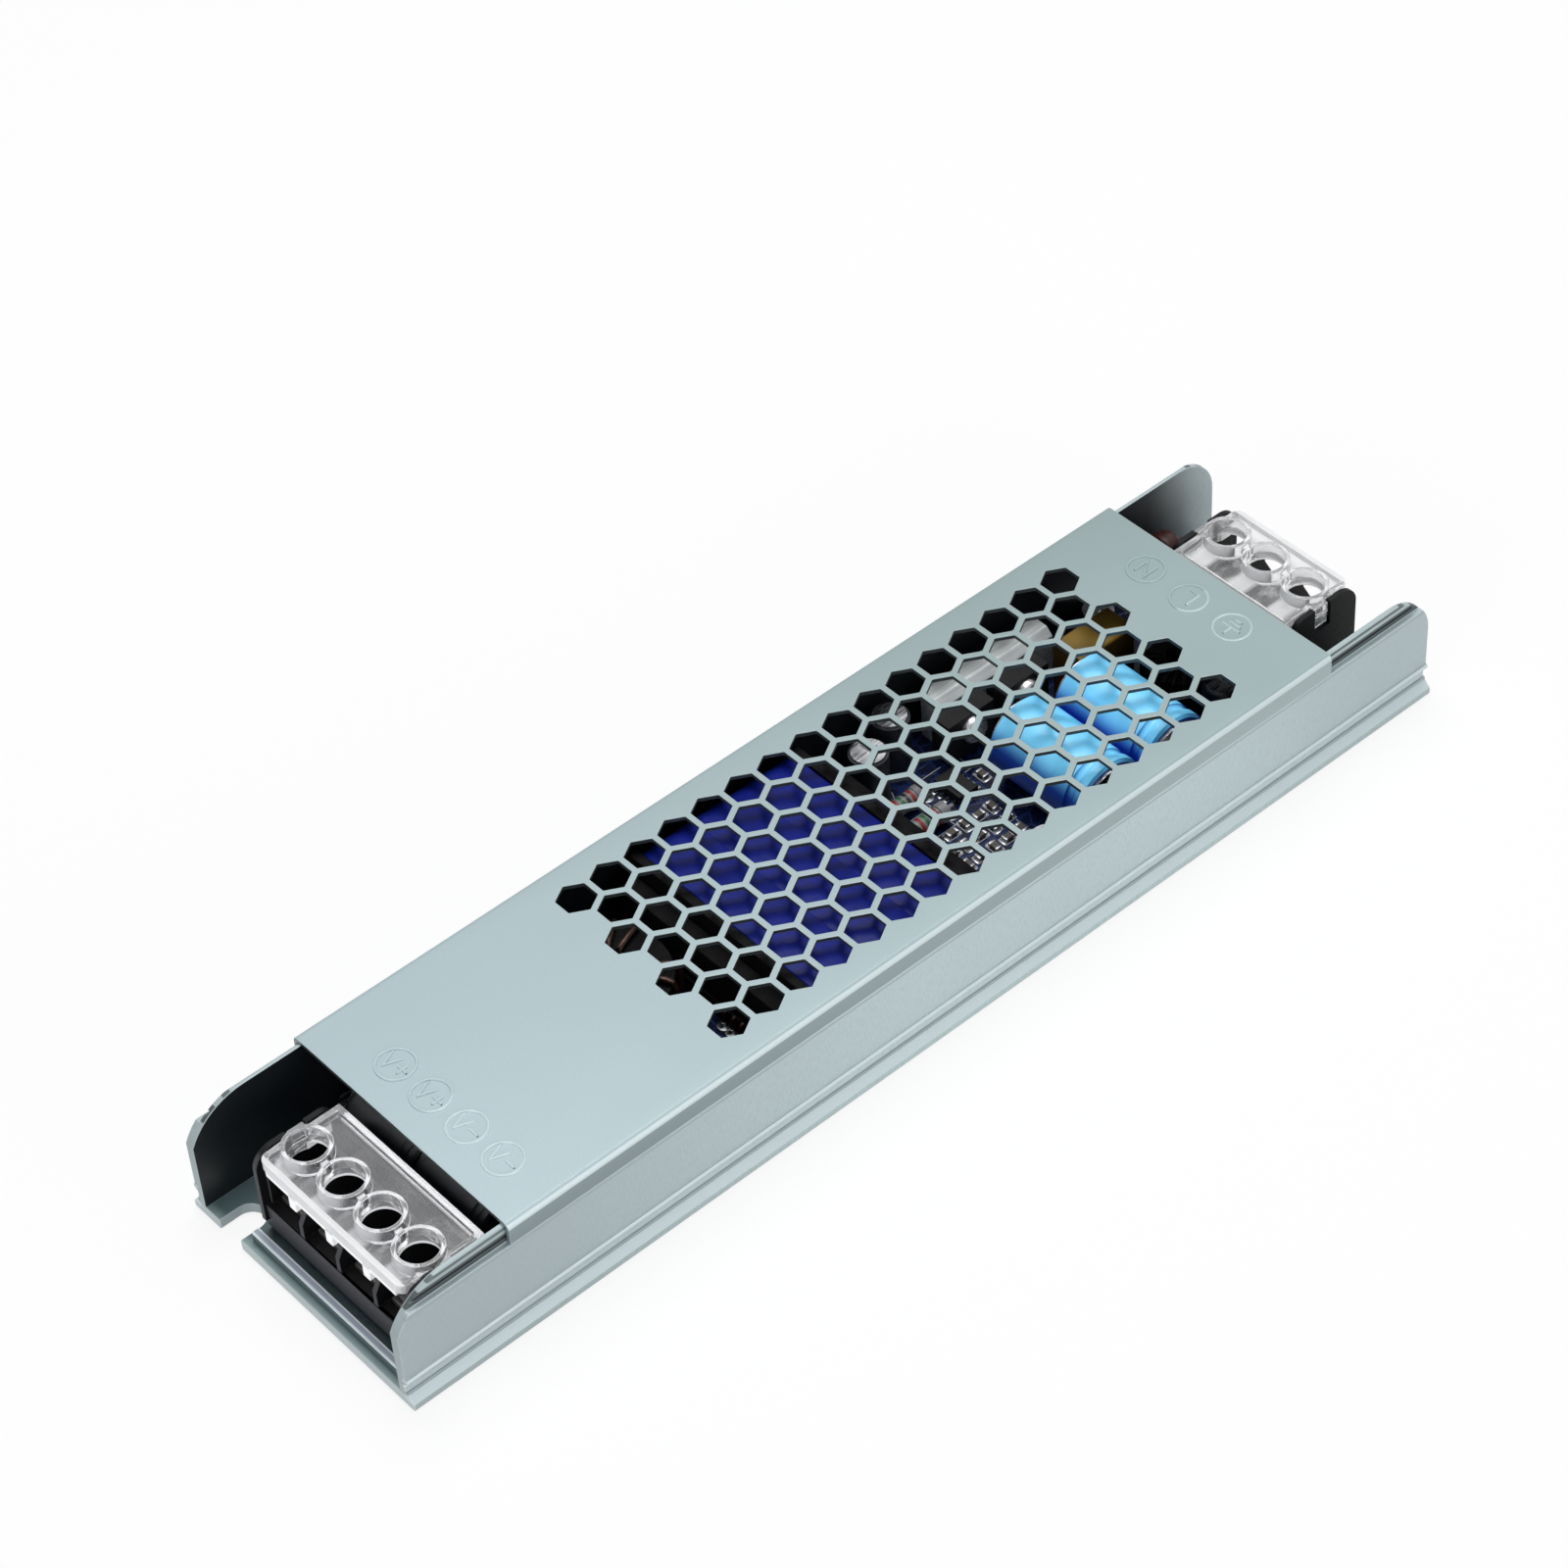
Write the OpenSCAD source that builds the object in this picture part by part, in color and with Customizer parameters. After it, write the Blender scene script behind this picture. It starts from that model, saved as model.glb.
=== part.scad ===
// Slim LED power supply: folded perforated lid on an extruded channel, screw terminals at both ends.
// Millimetres. +X runs from the output end to the input end, +Y to the left, +Z up from the base.

/* [Housing] */
// Length of the channel
body_l = 211; // [190:1:240]
// Width across the outer faces of the side walls
body_w = 50.5; // [46:0.5:58]
// Height from the base to the top of the lid
body_h = 22.5; // [22:0.5:27]
// Thickness of the side walls
wall_t = 1.9; // [1.7:0.1:2.2]
// Thickness of the floor
floor_t = 2; // [1.6:0.1:2.2]
// Overhang of each foot beyond its wall
foot_w = 1.25; // [0.8:0.05:2]
// Height of the foot where it meets the wall
foot_h = 2.4; // [1.8:0.1:2.6]
// Height of the bead line along each wall
bead_z = 5.4; // [4.4:0.1:6]
// Radius of the wall corners at the output end
dc_arc_r = 11.2; // [9:0.2:13]
// Radius of the wall corners at the input end
ac_arc_r = 8; // [6:0.5:9]
// Width of the mounting notch at each end
notch_w = 5.3; // [4.6:0.1:5.6]
// Length of the mounting notch
notch_l = 6.2; // [5:0.2:7]
// From the inner face of a wall to the middle of its notch
notch_in = 5.95; // [5:0.05:7]

/* [Lid] */
// Thickness of the lid sheet
sheet_t = 0.8; // [0.6:0.1:1]
// Depth of the folded lid edges
skirt_h = 4; // [3.4:0.1:5]
// Outside radius of the lid fold
fold_r = 1.1; // [1.1:0.1:2]
// Gap between the lid and each terminal cover
lid_gap = 1.9; // [0.6:0.1:3]
// Spacing of the vent holes
hex_pitch = 6.75; // [6.3:0.05:7.2]
// Width of a vent hole across its flats
hex_flat = 5.7; // [4.8:0.1:5.9]
// From the input edge of the lid to the nearest row of vent holes
hex_margin = 18.2; // [12:0.1:22]

/* [Terminals] */
// Spacing of the terminal screws
way_pitch = 8.7; // [8.2:0.1:9.4]
// Depth of a terminal cover
cover_d = 15; // [14:0.1:16.5]
// Bore of a cover collar
collar_bore = 6.4; // [6.2:0.1:6.8]
// Wall of a cover collar
collar_t = 0.75; // [0.6:0.05:0.8]
// Set-back of the output cover from the channel end
dc_setback = 3.9; // [3.5:0.1:4.4]
// Set-back of the input cover from the channel end
ac_setback = 5.9; // [5.3:0.1:6.5]
// Sideways position of the input block
ac_y = -0.6; // [-1:0.1:1]
// Diameter of the screw thread
thread_d = 3.4; // [3:0.1:3.6]
// Diameter of the screw head
head_d = 5.7; // [5.2:0.1:5.8]
// Width of a clamp plate
clamp_w = 6.6; // [6:0.1:6.8]

/* [Board] */
// Gap between the floor and the board
board_gap = 1.9; // [1.7:0.1:2.2]
// Thickness of the board
board_t = 1.6; // [1.2:0.1:1.8]
// Thickness of the insulating tray
tray_t = 0.6; // [0.4:0.1:0.8]
// Outside diameter of a board spacer
post_d = 5; // [4.6:0.1:5.4]
// Thread diameter of the board and base screws
screw_d = 3; // [2.6:0.1:3.2]

/* [Inside] */
// Length of the transformer winding
winding_l = 31; // [28:0.5:34]
// Height of the transformer winding
winding_h = 13.8; // [10:0.2:14.2]
// Gap between the transformer winding and each wall
winding_gap = 1.95; // [1.5:0.05:6]
// Length of the control area between the transformer and the bulk capacitors
control_l = 20.8; // [20:0.1:24]
// Diameter of a bulk capacitor
bulk_d = 13.8; // [12:0.2:15]
// Length of a bulk capacitor
bulk_l = 20.6; // [18:0.2:22]
// Diameter of an output capacitor
out_d = 10; // [8:0.2:12]
// Length of an output capacitor
out_l = 16; // [12:0.5:16]
// Outside diameter of the output choke core
choke_d = 21; // [18:0.5:23]

/* [Fits] */
// Gap round pieces that move
run_gap = 0.3; // [0.25:0.05:0.35]
// Gap round pieces that are fixed
set_gap = 0.1; // [0.05:0.05:0.15]

/* [Hidden] */
$fn = 64;
// Length by which a cutting shape runs past what it cuts
past = 1;

// Channel section
half_l = body_l / 2;
half_w = body_w / 2;
inner_w = half_w - wall_t;
ledge_z = body_h - skirt_h;
lip_z = body_h - sheet_t;
lip_w = wall_t - sheet_t - set_gap;
lip_bevel = fold_r - sheet_t + set_gap;
bead_r = 0.45;
foot_edge = foot_h / 2;
foot_root = 0.5;
line_groove_z = foot_h + 0.5;
line_groove_gap = 0.25;
line_groove_h = bead_z - bead_r - line_groove_gap - line_groove_z;
groove_deep = 0.4;
lip_groove_z = ledge_z + 0.9;
lip_groove_h = 0.5;
dc_arc_l = dc_arc_r - 1;
notch_y = inner_w - notch_in;

// Terminals: lengths run along Y, the wire side faces -X, heights are counted up from the board
dc_ways = 4;
ac_ways = 3;
front_x = -cover_d / 2;
back_x = cover_d / 2;
fin_t = 1;
end_t = 1.3;
lobe_t = 1;
lobe_r = 2;
lobe_front_r = 3.6;
lobe_out = 0.4;
shell_t = 0.8;
block_back_t = 1.1;
block_side_gap = 0.25;
sill_foot = 0.4;
sill_top = 0.2;
sill_back = 2.4;
sill_drop = 0.5;
sill_lap = 0.6;
bay_floor = 3.2;
fin_step_z = 6;
fin_step_x = 1.2;
fin_top = 12;
lobe_top = 14.4;
well_floor = 0.8;
well_gap = 0.6;
bar_t = 1.1;
bar_w = 6.4;
bar_rise = 4;
bar_rise_t = 1;
clamp_t = 1.2;
clamp_plate_t = 0.8;
clamp_corner = 0.8;
clamp_boss = 0.3;
clamp_z = bay_floor + bar_t + 0.2;
head_h = 2.2;
head_z = clamp_z + clamp_t + set_gap;
dome_in = 0.7;
dome_h = 0.5;
slot_t = 0.9;
slot_deep = 0.6;
cross_l = 2.8;
cross_t = 0.7;
cross_deep = 1.2;
tip_z = 1.3;
tip_h = 0.4;
tip_in = 0.4;
panel_z = 12.5;
panel_t = 0.8;
panel_corner = 1.6;
rim_w = 1;
rim_top = panel_z + panel_t + 1;
collar_x = -1.2;
collar_low = 12;
collar_low_t = 0.45;
collar_top = rim_top + 1.1;
link_t = 1.2;
link_drop = 0.5;
skirt_low = 11.5;
peg_low = 9.9;
peg_w = 1.6;
peg_out = 0.3;
peg_lap = 0.9;
cover_in = 1;
clip_w = 2.8;
clip_low = 10.2;
clip_t = 0.8;
clip_out = 0.2;
clip_top_out = 1.05;
slot_floor = clip_low - 0.6;
slot_w = clip_w + 2 * run_gap;
fin_x0 = front_x + shell_t + run_gap;
fin_foot_x = front_x + 0.4;
lobe_x0 = front_x - lobe_out;
wall_x1 = back_x - shell_t - run_gap;
end_skirt_in = 1.4;
end_skirt_low = 10.6;

board_z = floor_t + board_gap;
board_top = board_z + board_t;
dc_len = dc_ways * way_pitch - fin_t + 2 * end_t;
ac_len = ac_ways * way_pitch - fin_t + 2 * end_t;
dc_x = -half_l + dc_setback + cover_d / 2;
ac_x = half_l - ac_setback - cover_d / 2;
dc_y = -inner_w + block_side_gap + dc_len / 2;
dc_back = dc_x + back_x;
ac_back = ac_x - back_x;

// Lid
lid_x0 = dc_back + lid_gap;
lid_x1 = ac_back - lid_gap;
lid_l = lid_x1 - lid_x0;
hex_cols = 16;
hex_rows = 7;
hex_x = lid_x1 - hex_margin - (hex_cols - 1) / 2 * hex_pitch;

// Board, tray and spacers
board_in = 2.2;
board_x0 = dc_x + front_x + board_in;
board_x1 = ac_x - front_x - board_in;
board_w = inner_w - run_gap;
rib_w = 1.4;
rib_h = 1.9;
rib_out = 1.2;
rib_x0 = dc_x + front_x - rib_out;
rib_x1 = ac_x - front_x + rib_out;
dc_corner_y = dc_y + dc_len / 2 + set_gap;
ac_corner_y = -ac_y + ac_len / 2 + run_gap;
corner_end = 1;
screw_gap = 0.4;
post_edge = 3;
post_y = board_w - post_edge;
post_x0 = dc_back + 7.2;
post_x1 = ac_back - 9.1;
post_points = [for (x = [post_x0, post_x1], s = [-1, 1]) [x, s * post_y]];
post_bore = screw_d + screw_gap;
pan_d = 5.4;
pan_h = 1.9;
pan_cross = 1;
board_screw_past = 0.3;
base_hole = screw_d + 0.6;
base_sink_d = 6.2;
base_sink_h = 1.3;
base_head_d = 5.6;
base_head_z = 0.05;
base_screw_l = board_z - 0.4;
base_cross = 0.9;
seat_h = 0.3;

// Input side, counted from the back of the input block
coil_gap = 0.2;
line_d = 11.5;
line_bore = 6;
line_h = 7;
line_wire = 0.7;
line_wraps = 8;
line_x = ac_back - 12.6;
line_z = board_top + 1.2;
line_r = line_d / 2 + line_wire + coil_gap;
surge_d = 7;
surge_t = 3.6;
surge_lift = 3.6;
surge_x = ac_back + 5;
surge_y = (ac_y + ac_len / 2 + inner_w) / 2;
lead_d = 0.8;
lead_side = 2.5;
bulk_space = 0.5;
bulk_x1 = line_x - line_r - 1.65 - bulk_d / 2;
bulk_x0 = bulk_x1 - bulk_d - bulk_space;
bulk_z = board_top + seat_h + bulk_d / 2;
bulk_groove = 2.6;
bulk_end_t = 0.5;
bulk_end_in = 1;
bulk_lead = 1.3;
can_groove_r = 1;
can_groove_out = 0.5;
can_bevel = 0.5;
can_bevel_l = 0.4;
fuse_cap_d = 5;
fuse_cap_l = 5;
fuse_d = 4.6;
fuse_l = 10;
fuse_z = 3.1;
fuse_x = bulk_x1 + 1.2;
fuse_y = -board_w + 2.65;
bulk_y = fuse_y + fuse_cap_d / 2 + bulk_lead + run_gap + bulk_l / 2;
film_l = 12;
film_w = 6.6;
film_h = 11.8;
film_r = 0.8;
film_x0 = bulk_x1 + 0.8;
film_y0 = bulk_y + bulk_l / 2 + 1.2;
line_y = film_y0 - 1.45 - line_r;
sink_l = 25;
sink_w = 4.6;
sink_h = 9.8;
sink_bevel = 1.4;
sink_edge = 2.85;
sink_x = bulk_x0 + 6;
// The bar stands near the wall and always clears the film capacitor
sink_y = max(board_w - sink_edge, film_y0 + film_w + run_gap + sink_w) - sink_w / 2;
pack_gap = 0.1;
pack_l = 10;
pack_t = 4.1;
pack_h = 8;
pack_lift = 0.6;
pack_step = 6;
pack_shift = -3.5;
leg_w = 0.8;
leg_t = 0.6;
leg_step = 2.5;

// Control area
control_x1 = bulk_x0 - bulk_d / 2;
control_x0 = control_x1 - control_l;
small_d = 6.6;
small_h = 10.6;
small_top_d = 5.7;
small_top_h = 0.4;
small_score = 0.3;
near_wall = board_w - 4.45;
off_wall = board_w - 8.25;
small_points = [
    [control_x0 + 13.2, near_wall], [control_x0 + 5.2, off_wall],
    [control_x0 + 12.2, -near_wall], [line_x - 1, line_y - 10.2]
];
resistor_d = 3;
resistor_l = 8;
resistor_cap_d = 3.4;
resistor_cap_l = 1.6;
resistor_lift = 0.6;
resistor_lead_d = 0.7;
resistor_lead_l = 1.6;
resistor_x = control_x0 + 6.8;
resistor_low_y = -board_w + 10.65;
resistor_y = [off_wall - 5.8, off_wall - 11.4, resistor_low_y];
chip_l = 2;
chip_w = 1.2;
chip_h = 0.8;
chip_dx = 2.9;
chip_dy = 3.4;
chip_cols = 6;
chip_x0 = control_x0 + 3.4;
chip_y0 = off_wall - 14.6;
chip_rows = floor((chip_y0 - resistor_low_y - 2.9) / chip_dy) + 1;
side_chips = 4;
side_chip_x = control_x1 + 0.9;
side_chip_y = bulk_y + bulk_l / 2 + 2.2;
control_x = control_x0 + 16.45;
control_y = off_wall - 7.8;
control_body = [4, 6, 1.5];
control_lift = 0.3;
control_pin = [1, 0.5, 0.5];
control_pin_step = 1.3;
control_pin_x = 2.4;

// Transformer
flange_t = 1.6;
flange_lip = 0.5;
flange_r = 1.4;
pin_ledge = 4.2;
pin_ledge_h = 3;
pin_ledge_in = 3;
core_t = 3.4;
core_h = 8;
core_z = 3.2;
core_in = 2;
winding_r = 2.6;
winding_w = 2 * (inner_w - winding_gap);
winding_x = control_x0 - pin_ledge - flange_t - winding_l / 2;
winding_end = winding_x - winding_l / 2 - flange_t - pin_ledge;

// Output side
choke_bore = 11;
choke_h = 9.4;
choke_wire = 1.1;
choke_wraps = 16;
choke_lift = 1.5;
choke_r = choke_d / 2 + choke_wire + coil_gap;
choke_x = winding_end - 1 - choke_r;
choke_y = 7;
rect_x = choke_x;
rect_l = 24;
rect_pack_l = 10.4;
rect_pack_t = 4.6;
rect_pack_h = 9.5;
rect_lift = 0.5;
rect_edge = 0.6;
rect_plate_t = 1.4;
rect_plate_h = 9;
rect_foot_w = 4;
rect_foot_t = 1.2;
rect_hole = 3.2;
rect_hole_z = 5;
out_gap = 0.6;
out_groove = 2.2;
out_top_t = 0.4;
out_top_in = 0.8;
out_x = rect_x - rect_l / 2 - out_gap - out_d / 2;
// As many output capacitors as the room beside the output block takes
out_cols = floor((rect_x - rect_l / 2 - dc_back - out_gap) / (out_d + out_gap));
out_rows = floor(2 * (post_y - pan_d / 2 - run_gap) / (out_l + out_gap));
out_y0 = -out_rows * (out_l + out_gap) / 2;

// Places a terminal piece: the wire side faces the nearer end of the channel
module at_dc() {
    translate([dc_x, dc_y, board_top]) children();
}

module at_ac() {
    translate([ac_x, ac_y, board_top]) rotate([0, 0, 180]) children();
}

module box(x0, x1, y0, y1, z0, z1) {
    translate([x0, y0, z0]) cube([x1 - x0, y1 - y0, z1 - z0]);
}

// Sideways offset of one way in a row of terminals, the first on the left
function way_y(i, ways) = ((ways - 1) / 2 - i) * way_pitch;

module wall_outline() {
    difference() {
        union() {
            translate([inner_w, 0]) square([wall_t, ledge_z]);
            polygon([
                [inner_w, 0], [inner_w + lip_w, 0], [inner_w + lip_w, lip_z - lip_bevel],
                [inner_w + lip_w - lip_bevel, lip_z], [inner_w, lip_z]
            ]);
            translate([half_w, bead_z]) circle(bead_r);
            polygon([
                [half_w - foot_root, 0], [half_w + foot_w, 0], [half_w + foot_w, foot_edge],
                [half_w, foot_h], [half_w - foot_root, foot_h]
            ]);
        }
        translate([half_w - groove_deep, line_groove_z]) square([past, line_groove_h]);
        translate([inner_w + lip_w - groove_deep, lip_groove_z]) square([past, lip_groove_h]);
    }
}

module channel_outline() {
    translate([-half_w, 0]) square([body_w, floor_t]);
    wall_outline();
    mirror([1, 0]) wall_outline();
}

module corner_waste(reach, radius) {
    difference() {
        box(-half_l - past, -half_l + reach, -body_w, body_w, lip_z - radius, body_h + past);
        translate([-half_l + reach, body_w + past, lip_z - radius])
            rotate([90, 0, 0]) cylinder(r = radius, h = 2 * (body_w + past));
    }
}

module notch_cut() {
    round_x = -half_l + notch_l - notch_w / 2;
    box(-half_l - past, round_x, notch_y - notch_w / 2, notch_y + notch_w / 2, -past, floor_t + past);
    translate([round_x, notch_y, -past]) cylinder(d = notch_w, h = floor_t + 2 * past);
}

module housing_channel() {
    color([0.68, 0.75, 0.77])
    difference() {
        translate([-half_l, 0, 0]) rotate([90, 0, 90]) linear_extrude(body_l) channel_outline();
        corner_waste(dc_arc_l, dc_arc_r);
        mirror([1, 0, 0]) corner_waste(ac_arc_r, ac_arc_r);
        notch_cut();
        rotate([0, 0, 180]) notch_cut();
        for (p = post_points) {
            translate([p[0], p[1], -past]) cylinder(d = base_hole, h = floor_t + 2 * past);
            translate([p[0], p[1], 0]) cylinder(d1 = base_sink_d, d2 = base_hole, h = base_sink_h);
        }
    }
}

module lid_outline() {
    inner_r = fold_r - sheet_t;
    difference() {
        union() {
            translate([-half_w, ledge_z]) square([body_w, skirt_h - fold_r]);
            translate([-half_w + fold_r, ledge_z]) square([body_w - 2 * fold_r, skirt_h]);
            for (s = [-1, 1]) translate([s * (half_w - fold_r), body_h - fold_r]) circle(fold_r);
        }
        translate([-half_w + sheet_t, ledge_z - past])
            square([body_w - 2 * sheet_t, skirt_h - fold_r + past]);
        translate([-half_w + fold_r, ledge_z - past])
            square([body_w - 2 * fold_r, skirt_h - sheet_t + past]);
        for (s = [-1, 1]) translate([s * (half_w - fold_r), body_h - fold_r]) circle(inner_r);
    }
}

module vent_holes() {
    for (r = [0 : hex_rows - 1], c = [0 : hex_cols - 1 - r % 2])
        translate([
            hex_x + (c - (hex_cols - 1 - r % 2) / 2) * hex_pitch,
            (r - (hex_rows - 1) / 2) * hex_pitch * cos(30),
            lip_z - past
        ])
            rotate([0, 0, 30]) cylinder(d = hex_flat / cos(30), h = sheet_t + 2 * past, $fn = 6);
}

module perforated_lid() {
    color([0.70, 0.77, 0.78])
    difference() {
        translate([lid_x0, 0, 0]) rotate([90, 0, 90]) linear_extrude(lid_l) lid_outline();
        vent_holes();
    }
}

module notch_clear() {
    box(-half_l - past, lid_x0 - corner_end, dc_corner_y, body_w, -past, body_h);
    rotate([0, 0, 180]) box(-half_l - past, -lid_x1 - corner_end, ac_corner_y, body_w, -past, body_h);
}

module insulating_tray() {
    color([0.78, 0.82, 0.86])
    difference() {
        union() {
            box(rib_x0 - rib_w, rib_x1 + rib_w, -board_w, board_w, floor_t, floor_t + tray_t);
            box(rib_x0 - rib_w, rib_x0, -board_w, board_w, floor_t, floor_t + rib_h);
            box(rib_x1, rib_x1 + rib_w, -board_w, board_w, floor_t, floor_t + rib_h);
        }
        notch_clear();
        for (p = post_points) translate([p[0], p[1], 0]) cylinder(d = post_d + 2 * run_gap, h = body_h);
    }
}

module circuit_board() {
    color([0.05, 0.09, 0.24])
    difference() {
        box(board_x0, board_x1, -board_w, board_w, board_z, board_top);
        notch_clear();
        for (p = post_points) translate([p[0], p[1], 0]) cylinder(d = post_bore, h = body_h);
    }
}

module board_posts() {
    color([0.78, 0.66, 0.36])
    for (p = post_points)
        translate([p[0], p[1], floor_t])
            difference() {
                cylinder(d = post_d, h = board_gap);
                translate([0, 0, -past]) cylinder(d = post_bore, h = board_gap + 2 * past);
            }
}

module cross_cut(deep) {
    for (a = [0, 90])
        rotate([0, 0, a]) box(-cross_l / 2, cross_l / 2, -cross_t / 2, cross_t / 2, -deep, past);
}

module board_screws() {
    color([0.75, 0.76, 0.78])
    for (p = post_points)
        translate([p[0], p[1], board_top + set_gap])
            difference() {
                union() {
                    cylinder(d = pan_d, h = pan_h);
                    translate([0, 0, -board_t - board_screw_past])
                        cylinder(d = screw_d - set_gap, h = board_t + board_screw_past + set_gap);
                }
                translate([0, 0, pan_h]) cross_cut(pan_cross);
            }
}

module base_screws() {
    color([0.75, 0.76, 0.78])
    for (p = post_points)
        translate([p[0], p[1], 0])
            difference() {
                union() {
                    translate([0, 0, base_head_z]) cylinder(d1 = base_head_d, d2 = screw_d, h = base_sink_h);
                    cylinder(d = screw_d, h = base_screw_l);
                    cylinder(d = base_head_d, h = base_head_z + set_gap / 10);
                }
                mirror([0, 0, 1]) cross_cut(base_cross);
            }
}

module end_lobes() {
    difference() {
        union() {
            translate([lobe_x0, 0]) square([wall_x1 - lobe_x0, lobe_top - lobe_front_r]);
            translate([lobe_x0 + lobe_front_r, 0])
                square([wall_x1 - lobe_r - lobe_x0 - lobe_front_r, lobe_top]);
            translate([wall_x1 - 2 * lobe_r, 0]) square([2 * lobe_r, lobe_top - lobe_r]);
            translate([lobe_x0 + lobe_front_r, lobe_top - lobe_front_r]) circle(lobe_front_r);
            translate([wall_x1 - lobe_r, lobe_top - lobe_r]) circle(lobe_r);
        }
        translate([-slot_w / 2, slot_floor]) square([slot_w, lobe_top]);
    }
}

module end_wall_low() {
    difference() {
        translate([fin_x0, 0]) square([wall_x1 - fin_x0, fin_top]);
        translate([-slot_w / 2, slot_floor]) square([slot_w, lobe_top]);
    }
}

module upright(y0, thick) {
    translate([0, y0 + thick, 0]) rotate([90, 0, 0]) linear_extrude(thick) children();
}

module terminal_body(ways) {
    run = ways * way_pitch - fin_t;
    len = run + 2 * end_t;
    sill_low = -board_t - sill_drop;
    lap_x = front_x + sill_back + sill_lap;
    difference() {
        union() {
            box(front_x + sill_back, wall_x1, -len / 2, len / 2, 0, bay_floor);
            upright(-len / 2, len)
                polygon([
                    [front_x + board_in - run_gap, sill_low], [front_x + sill_foot, sill_low],
                    [front_x + sill_top, bay_floor], [lap_x, bay_floor], [lap_x, 0],
                    [front_x + board_in - run_gap, 0]
                ]);
            box(wall_x1 - block_back_t, wall_x1, -len / 2, len / 2, 0, fin_top);
            for (i = [1 : ways - 1])
                upright((i - ways / 2) * way_pitch - fin_t / 2, fin_t)
                    polygon([
                        [fin_foot_x, bay_floor - sill_lap], [fin_foot_x, fin_step_z],
                        [fin_x0 + fin_step_x, peg_low - run_gap], [fin_x0 + fin_step_x, fin_top],
                        [wall_x1, fin_top], [wall_x1, bay_floor - sill_lap]
                    ]);
            for (y = [run / 2, -len / 2]) upright(y, end_t) end_wall_low();
            for (y = [len / 2 - lobe_t, -len / 2]) upright(y, lobe_t) end_lobes();
        }
        for (i = [0 : ways - 1])
            translate([collar_x, way_y(i, ways), well_floor])
                cylinder(d = thread_d + 2 * well_gap, h = bay_floor);
    }
}

module dc_terminal_body() {
    color([0.06, 0.06, 0.07]) at_dc() terminal_body(dc_ways);
}

module ac_terminal_body() {
    color([0.06, 0.06, 0.07]) at_ac() terminal_body(ac_ways);
}

module terminal_bars(ways) {
    bar_x1 = wall_x1 - block_back_t - set_gap;
    for (i = [0 : ways - 1])
        translate([0, way_y(i, ways), bay_floor])
            difference() {
                union() {
                    box(front_x + sill_back, bar_x1, -bar_w / 2, bar_w / 2, 0, bar_t);
                    box(bar_x1 - bar_rise_t, bar_x1, -bar_w / 2, bar_w / 2, 0, bar_rise);
                }
                translate([collar_x, 0, -past]) cylinder(d = thread_d + 2 * run_gap, h = bar_t + 2 * past);
            }
}

module dc_terminal_bars() {
    color([0.80, 0.78, 0.70]) at_dc() terminal_bars(dc_ways);
}

module ac_terminal_bars() {
    color([0.80, 0.78, 0.70]) at_ac() terminal_bars(ac_ways);
}

module terminal_screw(i, ways) {
    shank_z = tip_z + tip_h - head_z;
    translate([collar_x, way_y(i, ways), head_z])
        difference() {
            union() {
                cylinder(d = head_d, h = head_h);
                translate([0, 0, head_h]) cylinder(d1 = head_d, d2 = head_d - 2 * dome_in, h = dome_h);
                translate([0, 0, shank_z]) cylinder(d = thread_d, h = -shank_z);
                translate([0, 0, shank_z - tip_h])
                    cylinder(d1 = thread_d - 2 * tip_in, d2 = thread_d, h = tip_h);
            }
            translate([-head_d, -slot_t / 2, head_h - slot_deep]) cube([2 * head_d, slot_t, head_h]);
            translate([0, 0, head_h]) cross_cut(cross_deep);
        }
}

module terminal_clamp(i, ways) {
    corner_x = clamp_w / 2 * sqrt(2) - clamp_corner;
    translate([collar_x, way_y(i, ways), clamp_z])
        difference() {
            union() {
                box(-clamp_w / 2, clamp_w / 2, -clamp_w / 2, clamp_w / 2, 0, clamp_plate_t);
                cylinder(d = head_d + 2 * clamp_boss, h = clamp_t);
            }
            translate([0, 0, -past]) cylinder(d = thread_d + 2 * run_gap, h = clamp_t + 2 * past);
            for (a = [45 : 90 : 315])
                rotate([0, 0, a]) box(corner_x, clamp_w, -clamp_w / 2, clamp_w / 2, -past, clamp_t + past);
        }
}

module dc_screw_1() {
    color([0.30, 0.30, 0.32]) at_dc() terminal_screw(0, dc_ways);
}

module dc_screw_2() {
    color([0.30, 0.30, 0.32]) at_dc() terminal_screw(1, dc_ways);
}

module dc_screw_3() {
    color([0.30, 0.30, 0.32]) at_dc() terminal_screw(2, dc_ways);
}

module dc_screw_4() {
    color([0.30, 0.30, 0.32]) at_dc() terminal_screw(3, dc_ways);
}

module dc_clamp_1() {
    color([0.45, 0.45, 0.47]) at_dc() terminal_clamp(0, dc_ways);
}

module dc_clamp_2() {
    color([0.45, 0.45, 0.47]) at_dc() terminal_clamp(1, dc_ways);
}

module dc_clamp_3() {
    color([0.45, 0.45, 0.47]) at_dc() terminal_clamp(2, dc_ways);
}

module dc_clamp_4() {
    color([0.45, 0.45, 0.47]) at_dc() terminal_clamp(3, dc_ways);
}

module ac_screw_1() {
    color([0.30, 0.30, 0.32]) at_ac() terminal_screw(0, ac_ways);
}

module ac_screw_2() {
    color([0.30, 0.30, 0.32]) at_ac() terminal_screw(1, ac_ways);
}

module ac_screw_3() {
    color([0.30, 0.30, 0.32]) at_ac() terminal_screw(2, ac_ways);
}

module ac_clamp_1() {
    color([0.45, 0.45, 0.47]) at_ac() terminal_clamp(0, ac_ways);
}

module ac_clamp_2() {
    color([0.45, 0.45, 0.47]) at_ac() terminal_clamp(1, ac_ways);
}

module ac_clamp_3() {
    color([0.45, 0.45, 0.47]) at_ac() terminal_clamp(2, ac_ways);
}

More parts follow.
